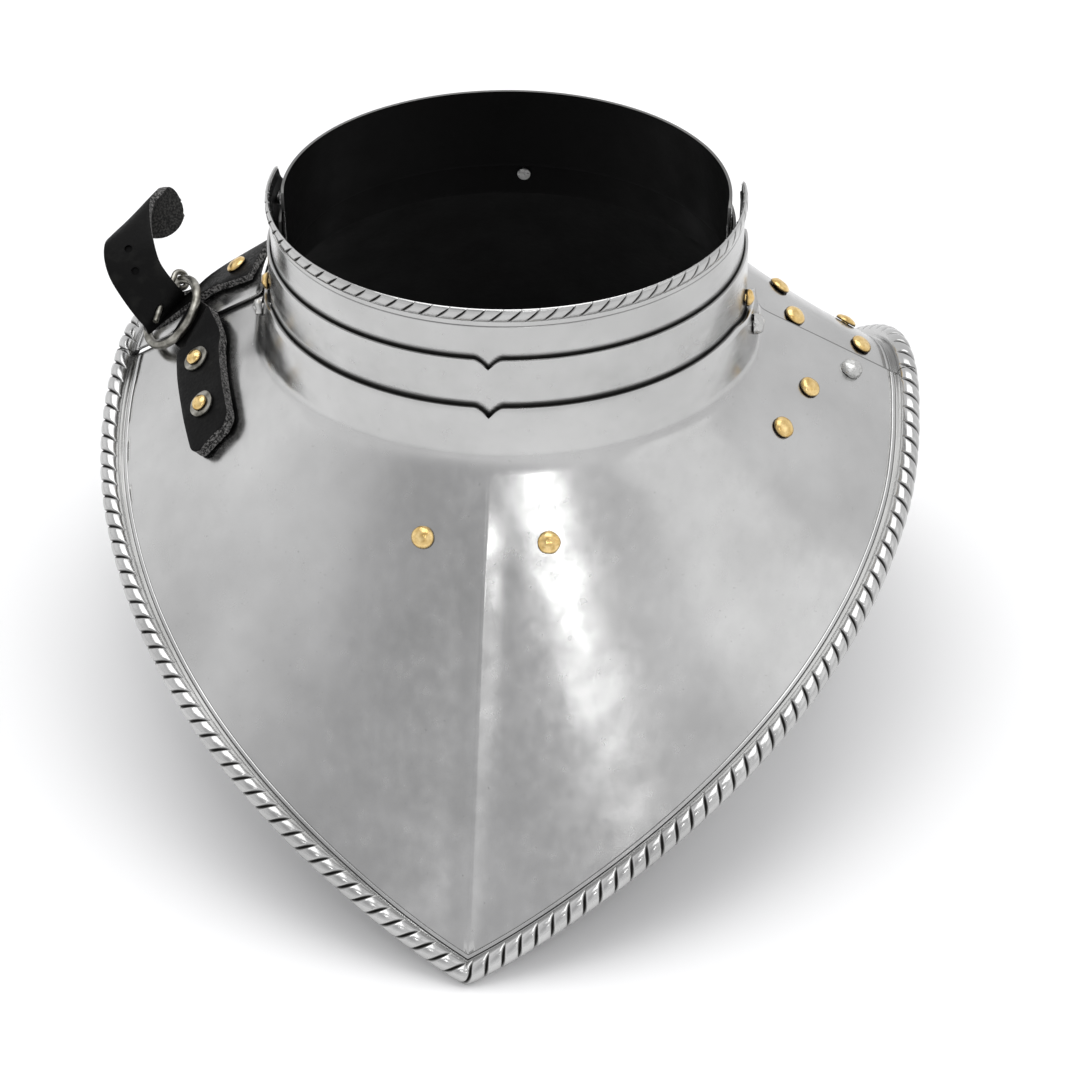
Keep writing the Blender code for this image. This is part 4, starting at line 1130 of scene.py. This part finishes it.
def buckle_strap():
    lift = SHEET + 2.0 * PLATE_SEAT + BUCKLE_STRAP * 0.5 + 0.0004
    ply = BUCKLE_STRAP * 0.5
    half = ply * 0.5 + 0.00005
    upper, lower = [], []
    for angle, share in ((-61.0, 0.38), (-69.0, 0.36), (-77.0, 0.36), (-82.0, 0.37),
                         (-86.5, 0.38)):
        wide = slope_point(angle, share - 0.1, 0.0) - slope_point(angle, share + 0.1, 0.0)
        wide = wide.normalized() * STRAP_WIDTH
        upper.append((slope_point(angle, share, lift + half), wide))
        lower.append((slope_point(angle, share, lift - half), wide))
    wide = ring_way(2.0 * (FOLD_HALF_WIDTH - 0.0002), 0.0, 0.0)
    turn = [(ring_place(0.0, pull, face), wide) for pull, face in (
        # the upper ply dips under the wire and comes up inside the ring, where it is folded
        (0.0190, -0.0018), (0.0160, -0.0030), (0.0125, -0.0032), (0.0090, -0.0026),
        (0.0066, -0.0022), (0.0057, -0.0034), (0.0066, -0.0046), (0.0090, -0.0050),
        (0.0125, -0.0052), (0.0160, -0.0050), (0.0190, -0.0042))]
    rows = upper + turn + lower[::-1]
    shaped = rounded(smooth_rows(rows, 6), BUCKLE_STRAP_ROUND)
    shaped = rounded(shaped[::-1], BUCKLE_STRAP_ROUND)[::-1]
    strap = band("short_strap", shaped, ply - 0.0002, Vector((-0.3, 0.3, 0.9)))
    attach(strap, "shell")
    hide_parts("buckle_strap")
    for name, angle, share in (("upper", -81.5, 0.37), ("lower", -69.0, 0.36)):
        normal = slope_normal(angle, share)
        place = slope_point(angle, share, lift + BUCKLE_STRAP * 0.5 + PLATE_SEAT + WASHER)
        bpy.ops.object.select_all(action="DESELECT")
        bpy.ops.mesh.primitive_cylinder_add(vertices=40, radius=WASHER_RADIUS, depth=WASHER)
        washer = bpy.context.object
        washer.name = "washer_disc_" + name
        for point in washer.data.vertices:
            point.co *= 1.0 + 0.05 * noise.noise(Vector((point.co.x, point.co.y, angle)) * 300.0)
        settle(washer, place - normal * WASHER * 0.5, normal)
        apply_modifier(washer, "BEVEL", width=0.0002, segments=2, limit_method="ANGLE")
        washer.data.materials.append(PEWTER)
        bpy.ops.object.shade_smooth_by_angle(angle=math.radians(40))
        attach(washer, "shell")
        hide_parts("washer_" + name)
        grip = lift + BUCKLE_STRAP * 0.5 + PLATE_SEAT + WASHER
        rivet("rivet_buckle_strap_" + name, "shell", place, normal, grip, BRASS,
              head=SMALL_HEAD)


buckle_strap()


# Studio: a plain pale floor, wide soft lights over it, and the camera at the height and side
# that the gorget is seen from, looking down into its collar.
def studio():
    bpy.ops.object.select_all(action="DESELECT")
    bpy.ops.mesh.primitive_plane_add(size=12.0, location=(0.0, 0.0, 0.0))
    floor = bpy.context.object
    floor.name = "floor"
    pale, _, _ = new_material("pale_floor", (0.93, 0.93, 0.93), 0.0, 0.9)
    floor.data.materials.append(pale)
    bpy.context.scene.view_settings.view_transform = "Standard"
    world = bpy.data.worlds.new("studio")
    world.use_nodes = True
    tree = world.node_tree
    where = tree.nodes.new("ShaderNodeTexCoord")
    split = tree.nodes.new("ShaderNodeSeparateXYZ")
    tree.links.new(where.outputs["Generated"], split.inputs["Vector"])
    height = map_range(tree, split.outputs["Z"], 0.55, 1.0, 0.0, 1.0)
    sky = mix_colours(tree, height, (0.86, 0.86, 0.87), (0.62, 0.62, 0.63))
    toward = tree.nodes.new("ShaderNodeVectorMath")
    toward.operation = "DOT_PRODUCT"
    toward.inputs[1].default_value = (-0.20, -0.72, 0.66)
    tree.links.new(where.outputs["Generated"], toward.inputs[0])
    shade = map_range(tree, toward.outputs["Value"], 0.86, 0.995, 0.0, 0.55)
    sky = mix_colours(tree, shade, sky, (0.30, 0.30, 0.31))
    tree.links.new(sky, tree.nodes["Background"].inputs["Color"])
    tree.nodes["Background"].inputs["Strength"].default_value = 1.12
    bpy.context.scene.world = world
    for name, place, size, power in (
            # place, size and power of each lamp; the last one sheens the ridge below the collar
            ("key", (-1.6, 0.5, 0.9), 1.2, 0.7),
            ("fill", (1.4, -0.4, 1.3), 1.1, 1.4),
            ("top", (0.0, 0.3, 2.4), 2.0, 26.0),
            ("ridge", (0.22, -1.12, 1.32), 0.20, 1.0)):
        light = bpy.data.lights.new(name, "AREA")
        light.energy = power
        light.size = size
        lamp = bpy.data.objects.new(name, light)
        lamp.location = place
        aim = Vector((0.0, 0.0, 0.1)) - lamp.location
        lamp.rotation_euler = aim.to_track_quat("-Z", "Y").to_euler()
        bpy.context.scene.collection.objects.link(lamp)


def camera():
    """The camera 1.3 m from the middle of the collar, turned to frame the whole gorget."""
    side_turn, height, roll = math.radians(6.01), math.radians(35.97), math.radians(-1.51)
    picture = 1080.0
    focal = 3617.0
    seen_at = (509.556, 329.824)
    looked_at = Vector((0.0, NECK_Y, STAND_HEIGHT - 0.060))
    right = Vector((math.cos(side_turn), math.sin(side_turn), 0.0))
    back = Vector((math.sin(side_turn) * math.cos(height),
                   -math.cos(side_turn) * math.cos(height), math.sin(height)))
    up = back.cross(right)
    right_turned = right * math.cos(roll) + up * math.sin(roll)
    up_turned = up * math.cos(roll) - right * math.sin(roll)
    look = (back * -focal + right_turned * (picture / 2 - seen_at[0])
            - up_turned * (picture / 2 - seen_at[1])).normalized()
    right_new = (right_turned - look * right_turned.dot(look)).normalized()
    up_new = right_new.cross(look)
    turn = Matrix((right_new, up_new, -look)).transposed().to_4x4()
    data = bpy.data.cameras.new("camera")
    data.sensor_width = 36.0
    data.lens = focal / picture * data.sensor_width
    eye = bpy.data.objects.new("camera", data)
    eye.matrix_world = Matrix.Translation(looked_at + back * 1.3) @ turn
    bpy.context.scene.collection.objects.link(eye)
    bpy.context.scene.camera = eye


studio()
camera()
